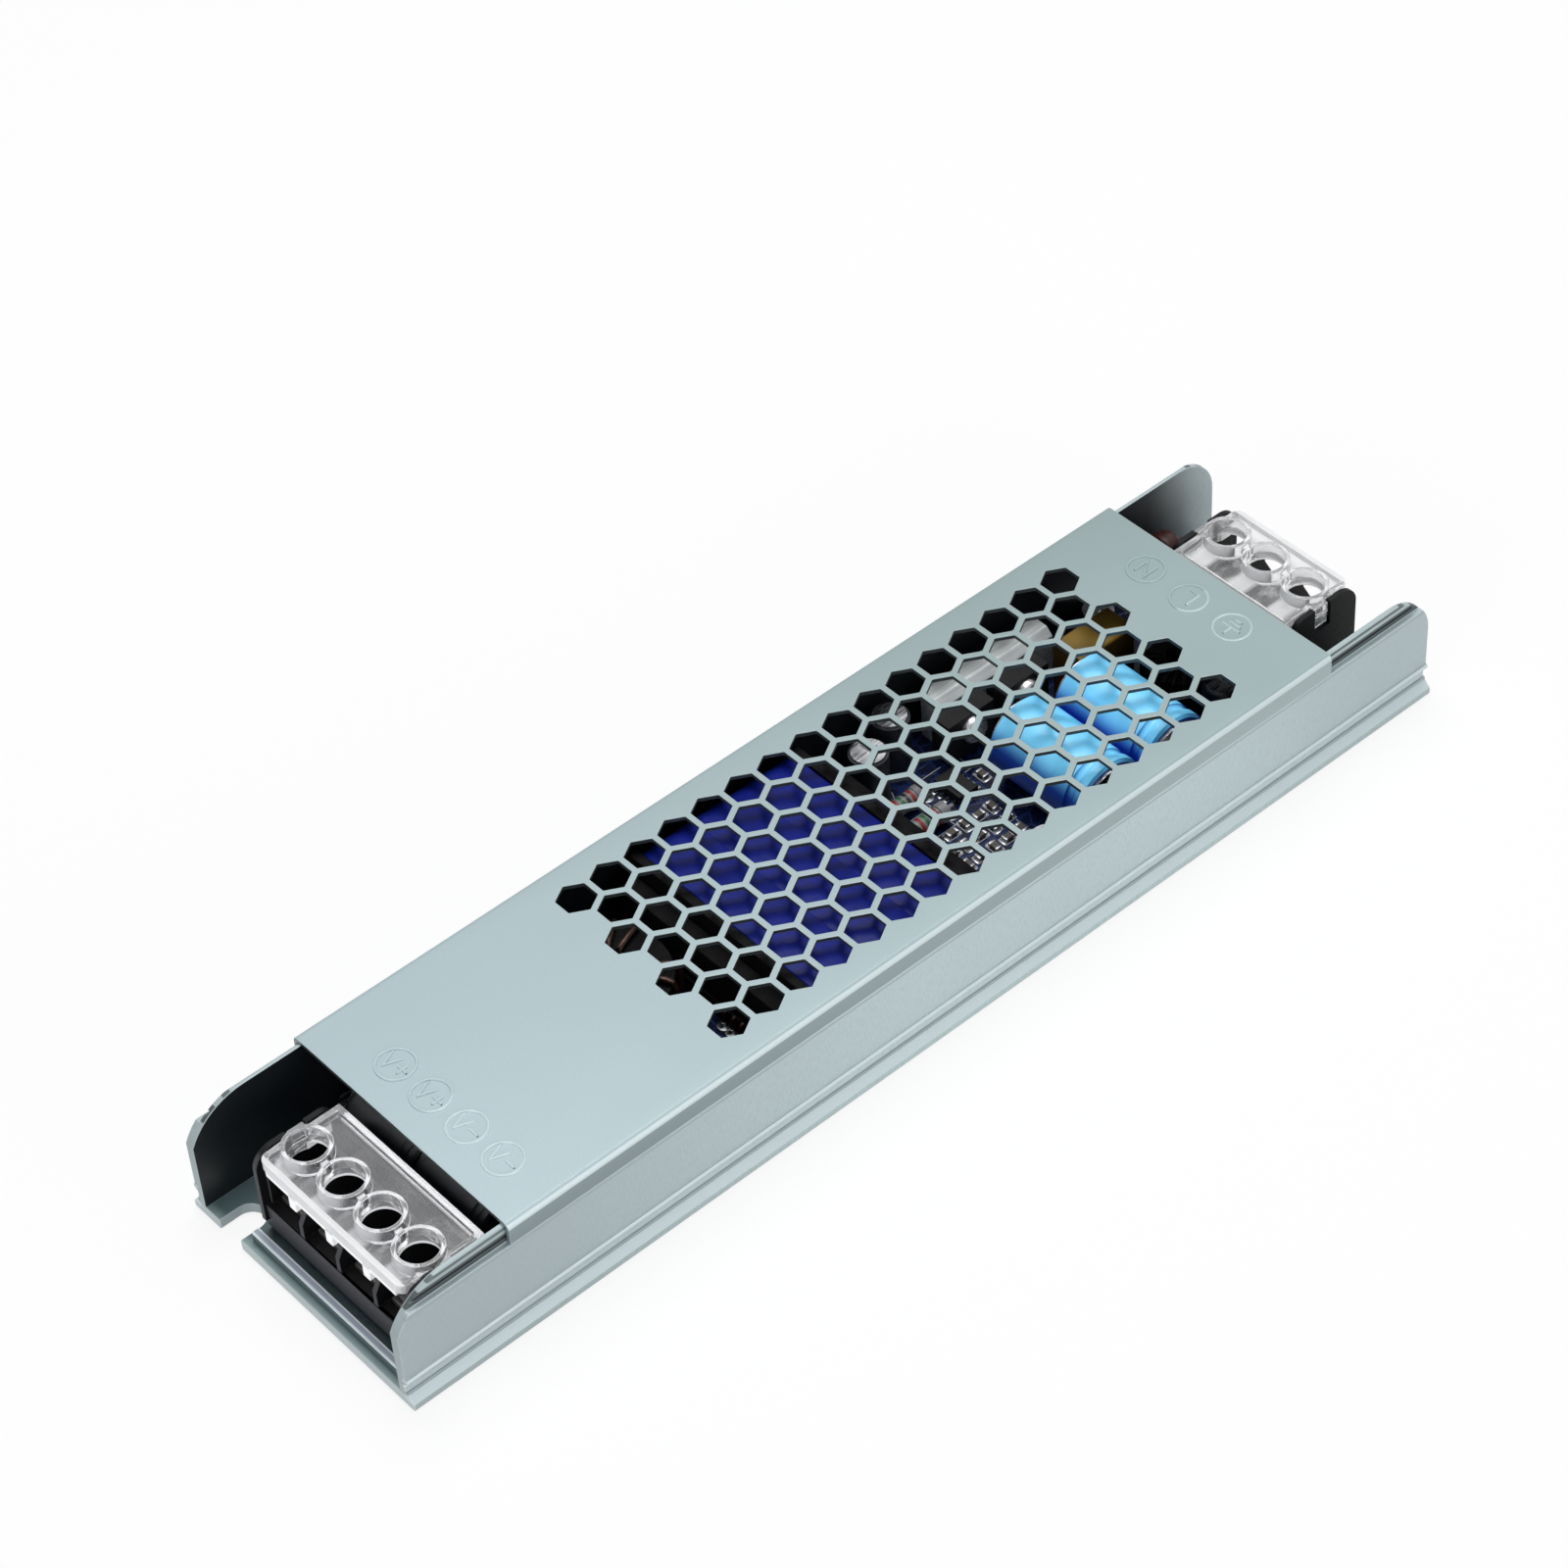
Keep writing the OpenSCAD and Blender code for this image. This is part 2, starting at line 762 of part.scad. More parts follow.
module cover_plan(len, inset) {
    r = panel_corner - inset;
    x0 = front_x + inset;
    x1 = back_x - inset;
    y1 = len / 2 - inset;
    translate([x0 + r, -y1]) square([x1 - x0 - r, 2 * y1]);
    translate([x0, -y1 + r]) square([x1 - x0, 2 * (y1 - r)]);
    for (s = [-1, 1]) translate([x0 + r, s * (y1 - r)]) circle(r);
}

module terminal_cover(ways) {
    len = ways * way_pitch - cover_in;
    inner = ways * way_pitch - fin_t - 2 * run_gap;
    collar_d = collar_bore + 2 * collar_t;
    skirt_top = panel_z + set_gap;
    difference() {
        union() {
            translate([0, 0, panel_z]) linear_extrude(panel_t) cover_plan(len, 0);
            difference() {
                translate([0, 0, panel_z]) linear_extrude(rim_top - panel_z) cover_plan(len, 0);
                translate([0, 0, panel_z + panel_t]) linear_extrude(rim_top) cover_plan(len, rim_w);
            }
            box(front_x, front_x + shell_t, panel_corner - len / 2, len / 2 - panel_corner,
                skirt_low, skirt_top);
            box(back_x - shell_t, back_x, -len / 2, len / 2, skirt_low, skirt_top);
            for (i = [0 : ways - 1])
                translate([collar_x, way_y(i, ways), 0]) {
                    translate([0, 0, panel_z]) cylinder(d = collar_d, h = collar_top - panel_z);
                    translate([0, 0, collar_low])
                        cylinder(d = collar_bore + 2 * collar_low_t, h = skirt_top - collar_low);
                }
            for (i = [1 : ways - 1]) {
                gap_y = way_y(i, ways) + way_pitch / 2;
                translate([collar_x, gap_y, (panel_z + collar_top - link_drop) / 2])
                    cube([link_t, way_pitch - collar_bore, collar_top - link_drop - panel_z], center = true);
                box(front_x - peg_out, front_x + shell_t, gap_y - peg_w / 2, gap_y + peg_w / 2,
                    peg_low, skirt_low + peg_lap);
            }
            for (s = [0, 180]) rotate([0, 0, s]) {
                box(-clip_w / 2, clip_w / 2, len / 2 - clip_t, len / 2 + clip_top_out, panel_z, rim_top);
                box(-clip_w / 2, clip_w / 2, len / 2 + clip_out, len / 2 + clip_out + clip_t,
                    clip_low, skirt_top);
            }
            for (y = [inner / 2 - shell_t, -inner / 2])
                box(fin_x0 + end_skirt_in, wall_x1 - end_skirt_in, y, y + shell_t,
                    end_skirt_low, skirt_top);
        }
        for (i = [0 : ways - 1])
            translate([collar_x, way_y(i, ways), 0]) cylinder(d = collar_bore, h = collar_top + past);
    }
}

module dc_terminal_cover() {
    color([0.90, 0.92, 0.94, 0.45]) at_dc() terminal_cover(dc_ways);
}

module ac_terminal_cover() {
    color([0.90, 0.92, 0.94, 0.45]) at_ac() terminal_cover(ac_ways);
}

// Rectangle with round corners for wrapped or moulded pieces, centred sideways
module soft_outline(w, h, r) {
    translate([-w / 2 + r, 0]) square([w - 2 * r, h]);
    translate([-w / 2, r]) square([w, h - 2 * r]);
    for (s = [-1, 1], z = [r, h - r]) translate([s * (w / 2 - r), z]) circle(r);
}

module transformer_winding() {
    color([0.10, 0.12, 0.62])
    translate([winding_x - winding_l / 2, 0, board_top + seat_h])
        rotate([90, 0, 90]) linear_extrude(winding_l) soft_outline(winding_w, winding_h, winding_r);
}

module transformer_bobbin() {
    flange_x = winding_l / 2 + set_gap;
    ledge_y = winding_w / 2 - pin_ledge_in;
    color([0.05, 0.05, 0.06])
    translate([winding_x, 0, board_top])
        for (s = [0, 180])
            rotate([0, 0, s]) {
                translate([flange_x, 0, 0]) rotate([90, 0, 90]) linear_extrude(flange_t)
                    soft_outline(winding_w + 2 * flange_lip, winding_h + 2 * seat_h, flange_r);
                box(flange_x + set_gap, winding_l / 2 + flange_t + pin_ledge, -ledge_y, ledge_y,
                    0, pin_ledge_h);
            }
}

module transformer_core() {
    core_x = winding_l / 2 + flange_t + run_gap;
    core_y = winding_w / 2 - core_in;
    color([0.16, 0.16, 0.17])
    translate([winding_x, 0, board_top + core_z])
        for (s = [0, 180]) rotate([0, 0, s]) box(core_x, core_x + core_t, -core_y, core_y, 0, core_h);
}

module lying_can(d, l, groove) {
    rotate([-90, 0, 0])
        rotate_extrude()
            difference() {
                polygon([
                    [0, 0], [d / 2 - can_bevel, 0], [d / 2, can_bevel_l], [d / 2, l - can_bevel_l],
                    [d / 2 - can_bevel, l], [0, l]
                ]);
                translate([d / 2 + can_groove_out, groove]) circle(can_groove_r);
            }
}

module bulk_capacitors() {
    color([0.35, 0.68, 0.95])
    for (x = [bulk_x0, bulk_x1])
        translate([x, bulk_y - bulk_l / 2, bulk_z]) lying_can(bulk_d, bulk_l, bulk_groove);
}

module bulk_capacitor_ends() {
    lead_y = -bulk_l / 2 - bulk_lead + lead_d / 2;
    lead_h = bulk_z - board_top;
    color([0.72, 0.73, 0.75])
    for (x = [bulk_x0, bulk_x1])
        translate([x, bulk_y, bulk_z]) {
            for (y = [bulk_l / 2 + bulk_end_t, -bulk_l / 2])
                translate([0, y, 0])
                    rotate([90, 0, 0]) cylinder(d = bulk_d - 2 * bulk_end_in, h = bulk_end_t);
            for (s = [-1, 1]) {
                translate([s * lead_side, -bulk_l / 2, 0])
                    rotate([90, 0, 0]) cylinder(d = lead_d, h = bulk_lead);
                translate([s * lead_side, lead_y, -lead_h]) cylinder(d = lead_d, h = lead_h);
            }
        }
}

module film_capacitor() {
    color([0.72, 0.56, 0.16])
    translate([film_x0, film_y0 + film_w / 2, board_top])
        rotate([90, 0, 90]) linear_extrude(film_l) soft_outline(film_w, film_h, film_r);
}

module heat_bar() {
    color([0.80, 0.81, 0.82])
    translate([sink_x - sink_l / 2, sink_y, board_top])
        rotate([90, 0, 90]) linear_extrude(sink_l)
            polygon([
                [-sink_w / 2, 0], [sink_w / 2, 0], [sink_w / 2, sink_h], [-sink_w / 2 + sink_bevel, sink_h],
                [-sink_w / 2, sink_h - sink_bevel]
            ]);
}

module power_package(l, t, h, lift) {
    translate([-l / 2, -t, lift]) cube([l, t, h]);
    for (k = [-1, 0, 1])
        translate([k * leg_step - leg_w / 2, -t / 2, 0]) cube([leg_w, leg_t, lift + pack_gap]);
}

module power_transistors() {
    color([0.07, 0.07, 0.08])
    for (s = [-1, 1])
        translate([sink_x + pack_shift + s * pack_step, sink_y - sink_w / 2 - pack_gap, board_top])
            power_package(pack_l, pack_t, pack_h, pack_lift);
}

module small_capacitors() {
    color([0.06, 0.07, 0.09])
    for (p = small_points) translate([p[0], p[1], board_top]) cylinder(d = small_d, h = small_h);
}

module small_capacitor_tops() {
    color([0.78, 0.79, 0.80])
    for (p = small_points)
        translate([p[0], p[1], board_top + small_h])
            difference() {
                cylinder(d = small_top_d, h = small_top_h);
                for (a = [0, 90])
                    rotate([0, 0, a]) translate([-small_top_d / 3, -small_score / 2, small_top_h / 2])
                        cube([small_top_d / 1.5, small_score, past]);
            }
}

module axial_resistors() {
    cap_x = resistor_l / 2 - resistor_cap_l / 2;
    lead_x = resistor_l / 2 + resistor_lead_l;
    color([0.62, 0.64, 0.66])
    for (y = resistor_y)
        translate([resistor_x, y, board_top + resistor_lift + resistor_d / 2]) {
            rotate([0, 90, 0]) {
                cylinder(d = resistor_d, h = 2 * cap_x, center = true);
                cylinder(d = resistor_lead_d, h = 2 * lead_x, center = true);
                for (s = [-1, 1])
                    translate([0, 0, s * cap_x])
                        cylinder(d = resistor_cap_d, h = resistor_cap_l, center = true);
            }
            for (s = [-1, 1])
                translate([s * (lead_x - resistor_lead_d / 2), 0, -resistor_lift - resistor_d / 2])
                    cylinder(d = resistor_lead_d, h = resistor_lift + resistor_d / 2);
        }
}

module chip_parts() {
    color([0.55, 0.50, 0.42]) {
        for (r = [0 : chip_rows - 1], c = [0 : chip_cols - 1])
            translate([chip_x0 + chip_dx * c, chip_y0 - chip_dy * r, board_top])
                rotate([0, 0, 90 * ((r + c) % 2)]) translate([-chip_l / 2, -chip_w / 2, 0])
                    cube([chip_l, chip_w, chip_h]);
        for (c = [0 : side_chips - 1])
            translate([side_chip_x + chip_dx * c - chip_w / 2, side_chip_y - chip_l / 2, board_top])
                cube([chip_w, chip_l, chip_h]);
    }
}

module control_chip() {
    color([0.05, 0.05, 0.06])
    translate([control_x, control_y, board_top]) {
        translate([-control_body[0] / 2, -control_body[1] / 2, control_lift]) cube(control_body);
        for (k = [-1.5 : 1 : 1.5], s = [-1, 1])
            translate([s * control_pin_x - control_pin[0] / 2, k * control_pin_step - control_pin[1] / 2, 0])
                cube(control_pin);
    }
}

// Ring core standing flat, with the coil as a set of wraps round it
module ring_core(d, bore, h) {
    difference() {
        cylinder(d = d, h = h);
        translate([0, 0, -1]) cylinder(d = bore, h = h + 2);
    }
}

module coil_wraps(d, bore, h, wire, from, to, wraps) {
    mid = (d + bore) / 4;
    deep = (d - bore) / 2 + 2 * coil_gap;
    tall = h + 2 * coil_gap;
    for (k = [0 : wraps - 1])
        rotate([0, 0, from + (to - from) * k / (wraps - 1)])
            translate([mid, 0, h / 2])
                difference() {
                    cube([deep + 2 * wire, wire, tall + 2 * wire], center = true);
                    cube([deep, 2 * wire, tall], center = true);
                }
}

module output_choke_core() {
    color([0.08, 0.09, 0.09])
    translate([choke_x, choke_y, board_top + choke_lift]) ring_core(choke_d, choke_bore, choke_h);
}

module output_choke_coil() {
    color([0.62, 0.30, 0.14])
    translate([choke_x, choke_y, board_top + choke_lift])
        coil_wraps(choke_d, choke_bore, choke_h, choke_wire, 20, 340, choke_wraps);
}

module line_choke_core() {
    color([0.10, 0.12, 0.10])
    translate([line_x, line_y, line_z]) ring_core(line_d, line_bore, line_h);
}

module line_choke_coil() {
    color([0.55, 0.27, 0.12])
    translate([line_x, line_y, line_z])
        for (a = [0, 180])
            rotate([0, 0, a]) coil_wraps(line_d, line_bore, line_h, line_wire, -60, 60, line_wraps);
}

module fuse_tube() {
    color([0.85, 0.84, 0.80])
    translate([fuse_x, fuse_y, board_top + fuse_z])
        rotate([0, 90, 0]) cylinder(d = fuse_d, h = fuse_l, center = true);
}

module fuse_caps() {
    color([0.76, 0.77, 0.79])
    translate([fuse_x, fuse_y, board_top])
        for (s = [-1, 1])
            translate([s * (fuse_l + fuse_cap_l) / 2, 0, 0]) {
                translate([0, 0, fuse_z])
                    rotate([0, 90, 0]) cylinder(d = fuse_cap_d, h = fuse_cap_l, center = true);
                cylinder(d = lead_d, h = fuse_z);
            }
}

module surge_disc() {
    color([0.42, 0.10, 0.08])
    translate([surge_x, surge_y, board_top]) {
        translate([0, 0, surge_lift + surge_d / 2])
            rotate([0, 90, 0]) cylinder(d = surge_d, h = surge_t, center = true);
        for (s = [-1, 1])
            translate([0, s * lead_side, 0]) cylinder(d = lead_d, h = surge_lift + surge_d / 4);
    }
}

module at_output_capacitors() {
    for (c = [0 : out_cols - 1], r = [0 : out_rows - 1])
        translate([
            out_x - c * (out_d + out_gap), out_y0 + r * (out_l + out_gap), board_top + seat_h + out_d / 2
        ])
            children();
}

module output_capacitors() {
    color([0.05, 0.06, 0.08]) at_output_capacitors() lying_can(out_d, out_l, out_groove);
}

module output_capacitor_tops() {
    color([0.72, 0.73, 0.75])
    at_output_capacitors()
        translate([0, out_l, 0]) rotate([-90, 0, 0]) cylinder(d = out_d - 2 * out_top_in, h = out_top_t);
}

module rectifiers() {
    color([0.06, 0.06, 0.07])
    for (s = [-1, 1])
        translate([rect_x + s * rect_l / 4, -board_w + rect_edge + rect_pack_t, board_top])
            power_package(rect_pack_l, rect_pack_t, rect_pack_h, rect_lift);
}

module rectifier_clamp() {
    color([0.70, 0.71, 0.73])
    translate([rect_x - rect_l / 2, -board_w + rect_edge + rect_pack_t + pack_gap, board_top])
        difference() {
            union() {
                cube([rect_l, rect_plate_t, rect_plate_h]);
                cube([rect_l, rect_foot_w, rect_foot_t]);
            }
            for (x = [rect_l / 4, rect_l * 3 / 4])
                translate([x, -past, rect_hole_z])
                    rotate([-90, 0, 0]) cylinder(d = rect_hole, h = rect_plate_t + 2 * past);
        }
}

housing_channel();
perforated_lid();
insulating_tray();
circuit_board();
board_posts();
board_screws();
base_screws();
dc_terminal_body();
dc_terminal_bars();
dc_terminal_cover();
dc_screw_1();
dc_screw_2();
dc_screw_3();
dc_screw_4();
dc_clamp_1();
dc_clamp_2();
dc_clamp_3();
dc_clamp_4();
ac_terminal_body();
ac_terminal_bars();
ac_terminal_cover();
ac_screw_1();
ac_screw_2();
ac_screw_3();
ac_clamp_1();
ac_clamp_2();
ac_clamp_3();
transformer_winding();
transformer_bobbin();
transformer_core();
bulk_capacitors();
bulk_capacitor_ends();
film_capacitor();
heat_bar();
power_transistors();
small_capacitors();
small_capacitor_tops();
axial_resistors();
chip_parts();
control_chip();
line_choke_core();
line_choke_coil();
fuse_tube();
fuse_caps();
surge_disc();
output_capacitors();
output_capacitor_tops();
output_choke_core();
output_choke_coil();
rectifiers();
rectifier_clamp();
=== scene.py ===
"""Looks of a slim LED power supply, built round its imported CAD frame. Metres; sizes named in mm."""

import math

import bmesh
import bpy
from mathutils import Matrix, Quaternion, Vector


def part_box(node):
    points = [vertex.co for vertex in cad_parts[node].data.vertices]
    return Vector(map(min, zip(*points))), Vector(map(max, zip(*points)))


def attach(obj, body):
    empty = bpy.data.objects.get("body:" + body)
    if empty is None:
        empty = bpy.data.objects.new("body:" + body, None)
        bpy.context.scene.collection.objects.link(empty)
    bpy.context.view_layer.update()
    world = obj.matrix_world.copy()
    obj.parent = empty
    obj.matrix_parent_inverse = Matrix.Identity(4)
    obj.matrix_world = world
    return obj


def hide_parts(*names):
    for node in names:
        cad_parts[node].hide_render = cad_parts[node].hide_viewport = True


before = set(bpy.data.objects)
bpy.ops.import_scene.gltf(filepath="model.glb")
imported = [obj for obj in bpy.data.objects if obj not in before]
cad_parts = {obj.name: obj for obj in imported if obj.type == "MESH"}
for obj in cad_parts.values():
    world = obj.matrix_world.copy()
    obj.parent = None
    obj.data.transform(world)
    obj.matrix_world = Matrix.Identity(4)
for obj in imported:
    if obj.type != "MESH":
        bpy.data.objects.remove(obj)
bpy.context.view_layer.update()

MM = 0.001
CASE = "case"
DC_WAYS = 4
AC_WAYS = 3
CORNERS = ((-1, -1), (1, -1), (1, 1), (-1, 1))


# Camera, light and floor, in metres

CAMERA_SPOT = Vector((-0.3043, -0.3692, 0.5066))
CAMERA_AIM = Vector((0.00882, 0.02254, 0.0115))
CAMERA_ROLL = math.radians(-4.09)
CAMERA_LENS = 102.54
CAMERA_CLIP = (0.01, 20.0)
SENSOR = 36.0
WHITE = (1, 1, 1)
WORLD_TONE = (0.94, 0.97, 1.0)
WORLD_POWER = 0.22
SEEN_WORLD_POWER = 1.0
STAGE_HALF = 4.0
STAGE_DROP = -0.0002
STAGE_TONE = (0.86, 0.86, 0.86)
STAGE_GLOW = 1.04
STAGE_GLOW_SHARE = 0.8
LAMPS = [
    # name, place, aim, size, power
    ("key", (0.18, 0.22, 1.0), (0, 0, 0), 0.8, 7.2),
    ("fill", (0.05, -1.0, 0.28), (0, 0, 0), 0.6, 3.6),
    ("front", (-1.0, -0.3, 0.4), (-0.1, 0, 0.01), 0.5, 2.6),
]


def place_object(name, data):
    made = bpy.data.objects.new(name, data)
    bpy.context.scene.collection.objects.link(made)
    return made


def point_at(thing, spot, aim):
    """Puts a camera or a lamp at spot, looking at aim."""
    thing.location = spot
    thing.rotation_mode = "QUATERNION"
    thing.rotation_quaternion = (Vector(aim) - Vector(spot)).to_track_quat("-Z", "Y")


def make_camera():
    data = bpy.data.cameras.new("camera")
    data.lens = CAMERA_LENS
    data.sensor_width = SENSOR
    data.clip_start, data.clip_end = CAMERA_CLIP
    camera = place_object("camera", data)
    point_at(camera, CAMERA_SPOT, CAMERA_AIM)
    roll = Quaternion((0, 0, 1), CAMERA_ROLL)
    camera.rotation_quaternion = camera.rotation_quaternion @ roll
    bpy.context.scene.camera = camera


def seen_directly(tree):
    """1 for the camera and for mirror-like or see-through rays: gloss and glass then show white."""
    path = tree.nodes.new("ShaderNodeLightPath")
    total = path.outputs["Is Camera Ray"]
    for name in ("Is Glossy Ray", "Is Transmission Ray"):
        most = tree.nodes.new("ShaderNodeMath")
        most.operation = "MAXIMUM"
        tree.links.new(total, most.inputs[0])
        tree.links.new(path.outputs[name], most.inputs[1])
        total = most.outputs[0]
    return total


def make_world():
    world = bpy.data.worlds.new("studio")
    bpy.context.scene.world = world
    world.use_nodes = True
    tree = world.node_tree
    tree.nodes.clear()
    out = tree.nodes.new("ShaderNodeOutputWorld")
    mix = tree.nodes.new("ShaderNodeMixShader")
    tree.links.new(seen_directly(tree), mix.inputs[0])
    looks = ((WORLD_TONE, WORLD_POWER), (WHITE, SEEN_WORLD_POWER))
    for socket, (tone, power) in zip(mix.inputs[1:], looks):
        light = tree.nodes.new("ShaderNodeBackground")
        light.inputs["Color"].default_value = (*tone, 1)
        light.inputs["Strength"].default_value = power
        tree.links.new(light.outputs[0], socket)
    tree.links.new(mix.outputs[0], out.inputs["Surface"])


def make_lamp(name, spot, aim, size, power):
    data = bpy.data.lights.new(name, "AREA")
    data.shape = "DISK"
    data.size = size
    data.energy = power
    point_at(place_object(name, data), spot, aim)


def make_floor():
    """A white floor, seen mostly by its own glow and otherwise lit as matt."""
    mesh = bpy.data.meshes.new("floor")
    corners = [(STAGE_HALF * a, STAGE_HALF * b, STAGE_DROP) for a, b in CORNERS]
    mesh.from_pydata(corners, [], [(0, 1, 2, 3)])
    floor = place_object("floor", mesh)
    mat = bpy.data.materials.new("floor_white")
    mat.use_nodes = True
    tree = mat.node_tree
    tree.nodes.clear()
    out = tree.nodes.new("ShaderNodeOutputMaterial")
    matt = tree.nodes.new("ShaderNodeBsdfDiffuse")
    matt.inputs["Color"].default_value = (*STAGE_TONE, 1)
    glow = tree.nodes.new("ShaderNodeEmission")
    glow.inputs["Color"].default_value = (*WHITE, 1)
    glow.inputs["Strength"].default_value = STAGE_GLOW
    share = tree.nodes.new("ShaderNodeMath")
    share.operation = "MULTIPLY"
    share.inputs[1].default_value = STAGE_GLOW_SHARE
    mix = tree.nodes.new("ShaderNodeMixShader")
    tree.links.new(seen_directly(tree), share.inputs[0])
    tree.links.new(share.outputs[0], mix.inputs[0])
    tree.links.new(matt.outputs[0], mix.inputs[1])
    tree.links.new(glow.outputs[0], mix.inputs[2])
    tree.links.new(mix.outputs[0], out.inputs["Surface"])
    mesh.materials.append(mat)


bpy.context.scene.view_settings.view_transform = "Standard"
make_camera()
make_world()
for lamp in LAMPS:
    make_lamp(*lamp)
make_floor()


# Materials

# The useful range of a noise
NOISE_LOW = 0.3
NOISE_HIGH = 0.7
NOISE_ROUGH = 0.55
# Likeness of the rounded and the true normal on flat faces and at edges
EDGE_FLAT = 0.99
EDGE_ROUNDED = 0.86
# Length in mm over which a painted border fades
SOFT = 0.1


class Paint:
    """One node material. Noise lies in the part's own millimetres; an axis gives metres."""

    def __init__(self, name, **sockets):
        self.mat = bpy.data.materials.new(name)
        self.mat.use_nodes = True
        self.tree = self.mat.node_tree
        self.bsdf = self.tree.nodes["Principled BSDF"]
        self.place = self.node("ShaderNodeTexCoord").outputs
        self.put(self.bsdf, **sockets)

    def node(self, kind, **settings):
        made = self.tree.nodes.new(kind)
        for key, value in settings.items():
            setattr(made, key, value)
        return made

    def join(self, value, socket):
        """Links a socket, or sets a constant on it."""
        if isinstance(value, bpy.types.NodeSocket):
            self.tree.links.new(value, socket)
        else:
            socket.default_value = value

    def put(self, node, **values):
        """Fills a node's sockets by name, with _ for a space."""
        for key, value in values.items():
            self.join(value, node.inputs[key.replace("_", " ")])

    def spot(self, stretch=(1, 1, 1)):
        made = self.node("ShaderNodeMapping")
        scale = [s / MM for s in stretch]
        self.put(made, Vector=self.place["Object"], Scale=scale)
        return made.outputs[0]

    def axis(self, index, output="Object"):
        made = self.node("ShaderNodeSeparateXYZ")
        self.put(made, Vector=self.place[output])
        return made.outputs[index]

    def noise(self, scale, detail, stretch=(1, 1, 1)):
        made = self.node("ShaderNodeTexNoise")
        self.put(made, Vector=self.spot(stretch), Scale=scale)
        self.put(made, Detail=detail, Roughness=NOISE_ROUGH)
        return made.outputs["Fac"]

    def cell_edges(self, scale):
        """Distance to the nearest edge in a pattern of cells."""
        made = self.node("ShaderNodeTexVoronoi", feature="DISTANCE_TO_EDGE")
        self.put(made, Vector=self.spot(), Scale=scale)
        return made.outputs["Distance"]

    def math(self, operation, a, b=0.0):
        made = self.node("ShaderNodeMath", operation=operation)
        self.join(a, made.inputs[0])
        self.join(b, made.inputs[1])
        return made.outputs[0]

    def times(self, a, b):
        return self.math("MULTIPLY", a, b)

    def span(self, value, low, high, out_low=0.0, out_high=1.0):
        """A smooth step from out_low to out_high between two limits."""
        made = self.node("ShaderNodeMapRange", interpolation_type="SMOOTHSTEP")
        self.put(made, Value=value, From_Min=low, From_Max=high)
        self.put(made, To_Min=out_low, To_Max=out_high)
        return made.outputs["Result"]

    def span_mm(self, value, low, high, out_low=0.0, out_high=1.0):
        """The same between two places given in mm."""
        return self.span(value, low * MM, high * MM, out_low, out_high)

    def band(self, value, low, high, soft):
        """1 between two limits, fading to 0 over a soft length at each end."""
        rise = self.span(value, low - soft, low)
        return self.times(rise, self.span(value, high, high + soft, 1.0, 0.0))

    def ramp(self, value, *stops):
        made = self.node("ShaderNodeValToRGB")
        self.put(made, Fac=value)
        marks = made.color_ramp.elements
        while len(marks) < len(stops):
            marks.new(1.0)
        for mark, (at, colour) in zip(marks, stops):
            mark.position = at
            mark.color = (*colour, 1)
        return made.outputs["Color"]

    def tones(self, noise, low, high):
        """From one colour to another by noise."""
        return self.ramp(noise, (NOISE_LOW, low), (NOISE_HIGH, high))

    def blend(self, share, a, b):
        """A colour from a to b by share."""
        made = self.node("ShaderNodeMix", data_type="RGBA")
        self.put(made, Factor=share)
        for value, index in ((a, 6), (b, 7)):
            if not isinstance(value, bpy.types.NodeSocket):
                value = (*value, 1)
            self.join(value, made.inputs[index])
        return made.outputs[2]

    def stain(self, tone, noise, low, high, share, colour):
        """Lays a share of a colour over a tone where noise is high."""
        return self.blend(self.span(noise, low, high, 0.0, share), tone, colour)

    def between(self, share, a, b):
        """A value from a to b by share."""
        made = self.node("ShaderNodeMix", data_type="FLOAT")
        for value, index in ((share, 0), (a, 2), (b, 3)):
            self.join(value, made.inputs[index])
        return made.outputs[0]

    def edges(self, width):
        """1 at edges, 0 on flat faces."""
        soft = self.node("ShaderNodeBevel", samples=4)
        self.put(soft, Radius=width * MM)
        shape = self.node("ShaderNodeNewGeometry")
        dot = self.node("ShaderNodeVectorMath", operation="DOT_PRODUCT")
        self.join(soft.outputs[0], dot.inputs[0])
        self.join(shape.outputs["Normal"], dot.inputs[1])
        return self.span(dot.outputs["Value"], EDGE_FLAT, EDGE_ROUNDED)

    def edge_wear_and_highlight(self, tone, width, share, colour):
        """Lays a share of a colour over edges, as wear and as a painted highlight."""
        return self.blend(self.times(self.edges(width), share), tone, colour)

    def colour(self, value):
        self.put(self.bsdf, Base_Color=value)

    def gloss(self, noise, low, high):
        """Roughness from low to high by noise."""
        self.put(self.bsdf, Roughness=self.span(noise, NOISE_LOW, NOISE_HIGH, low, high))

    def glow(self, colour, share, power):
        self.put(self.bsdf, Emission_Color=(*colour, 1), Emission_Strength=self.times(share, power))

    def bump(self, height, deep):
        made = self.node("ShaderNodeBump")
        self.put(made, Height=height, Distance=deep * MM, Strength=1.0)
        self.put(self.bsdf, Normal=made.outputs[0])


def shade(colour, factor):
    return tuple(c * factor for c in colour)


GRAIN_SPREAD = 0.12


def grained(name, colour, rough, grain, deep, **sockets):
    """A material with fine grain in its colour, gloss and surface."""
    paint = Paint(name, **sockets)
    fine = paint.noise(grain, detail=4.0)
    broad = paint.noise(0.12, detail=2.0)
    dark, light = shade(colour, 1 - GRAIN_SPREAD), shade(colour, 1 + GRAIN_SPREAD)
    tone = paint.tones(broad, dark, light)
    tone = paint.stain(tone, fine, 0.35, 0.65, 0.35, shade(colour, 1 - 2 * GRAIN_SPREAD))
    paint.colour(tone)
    paint.gloss(fine, rough - 0.06, rough + 0.08)
    paint.bump(fine, deep)
    return paint.mat


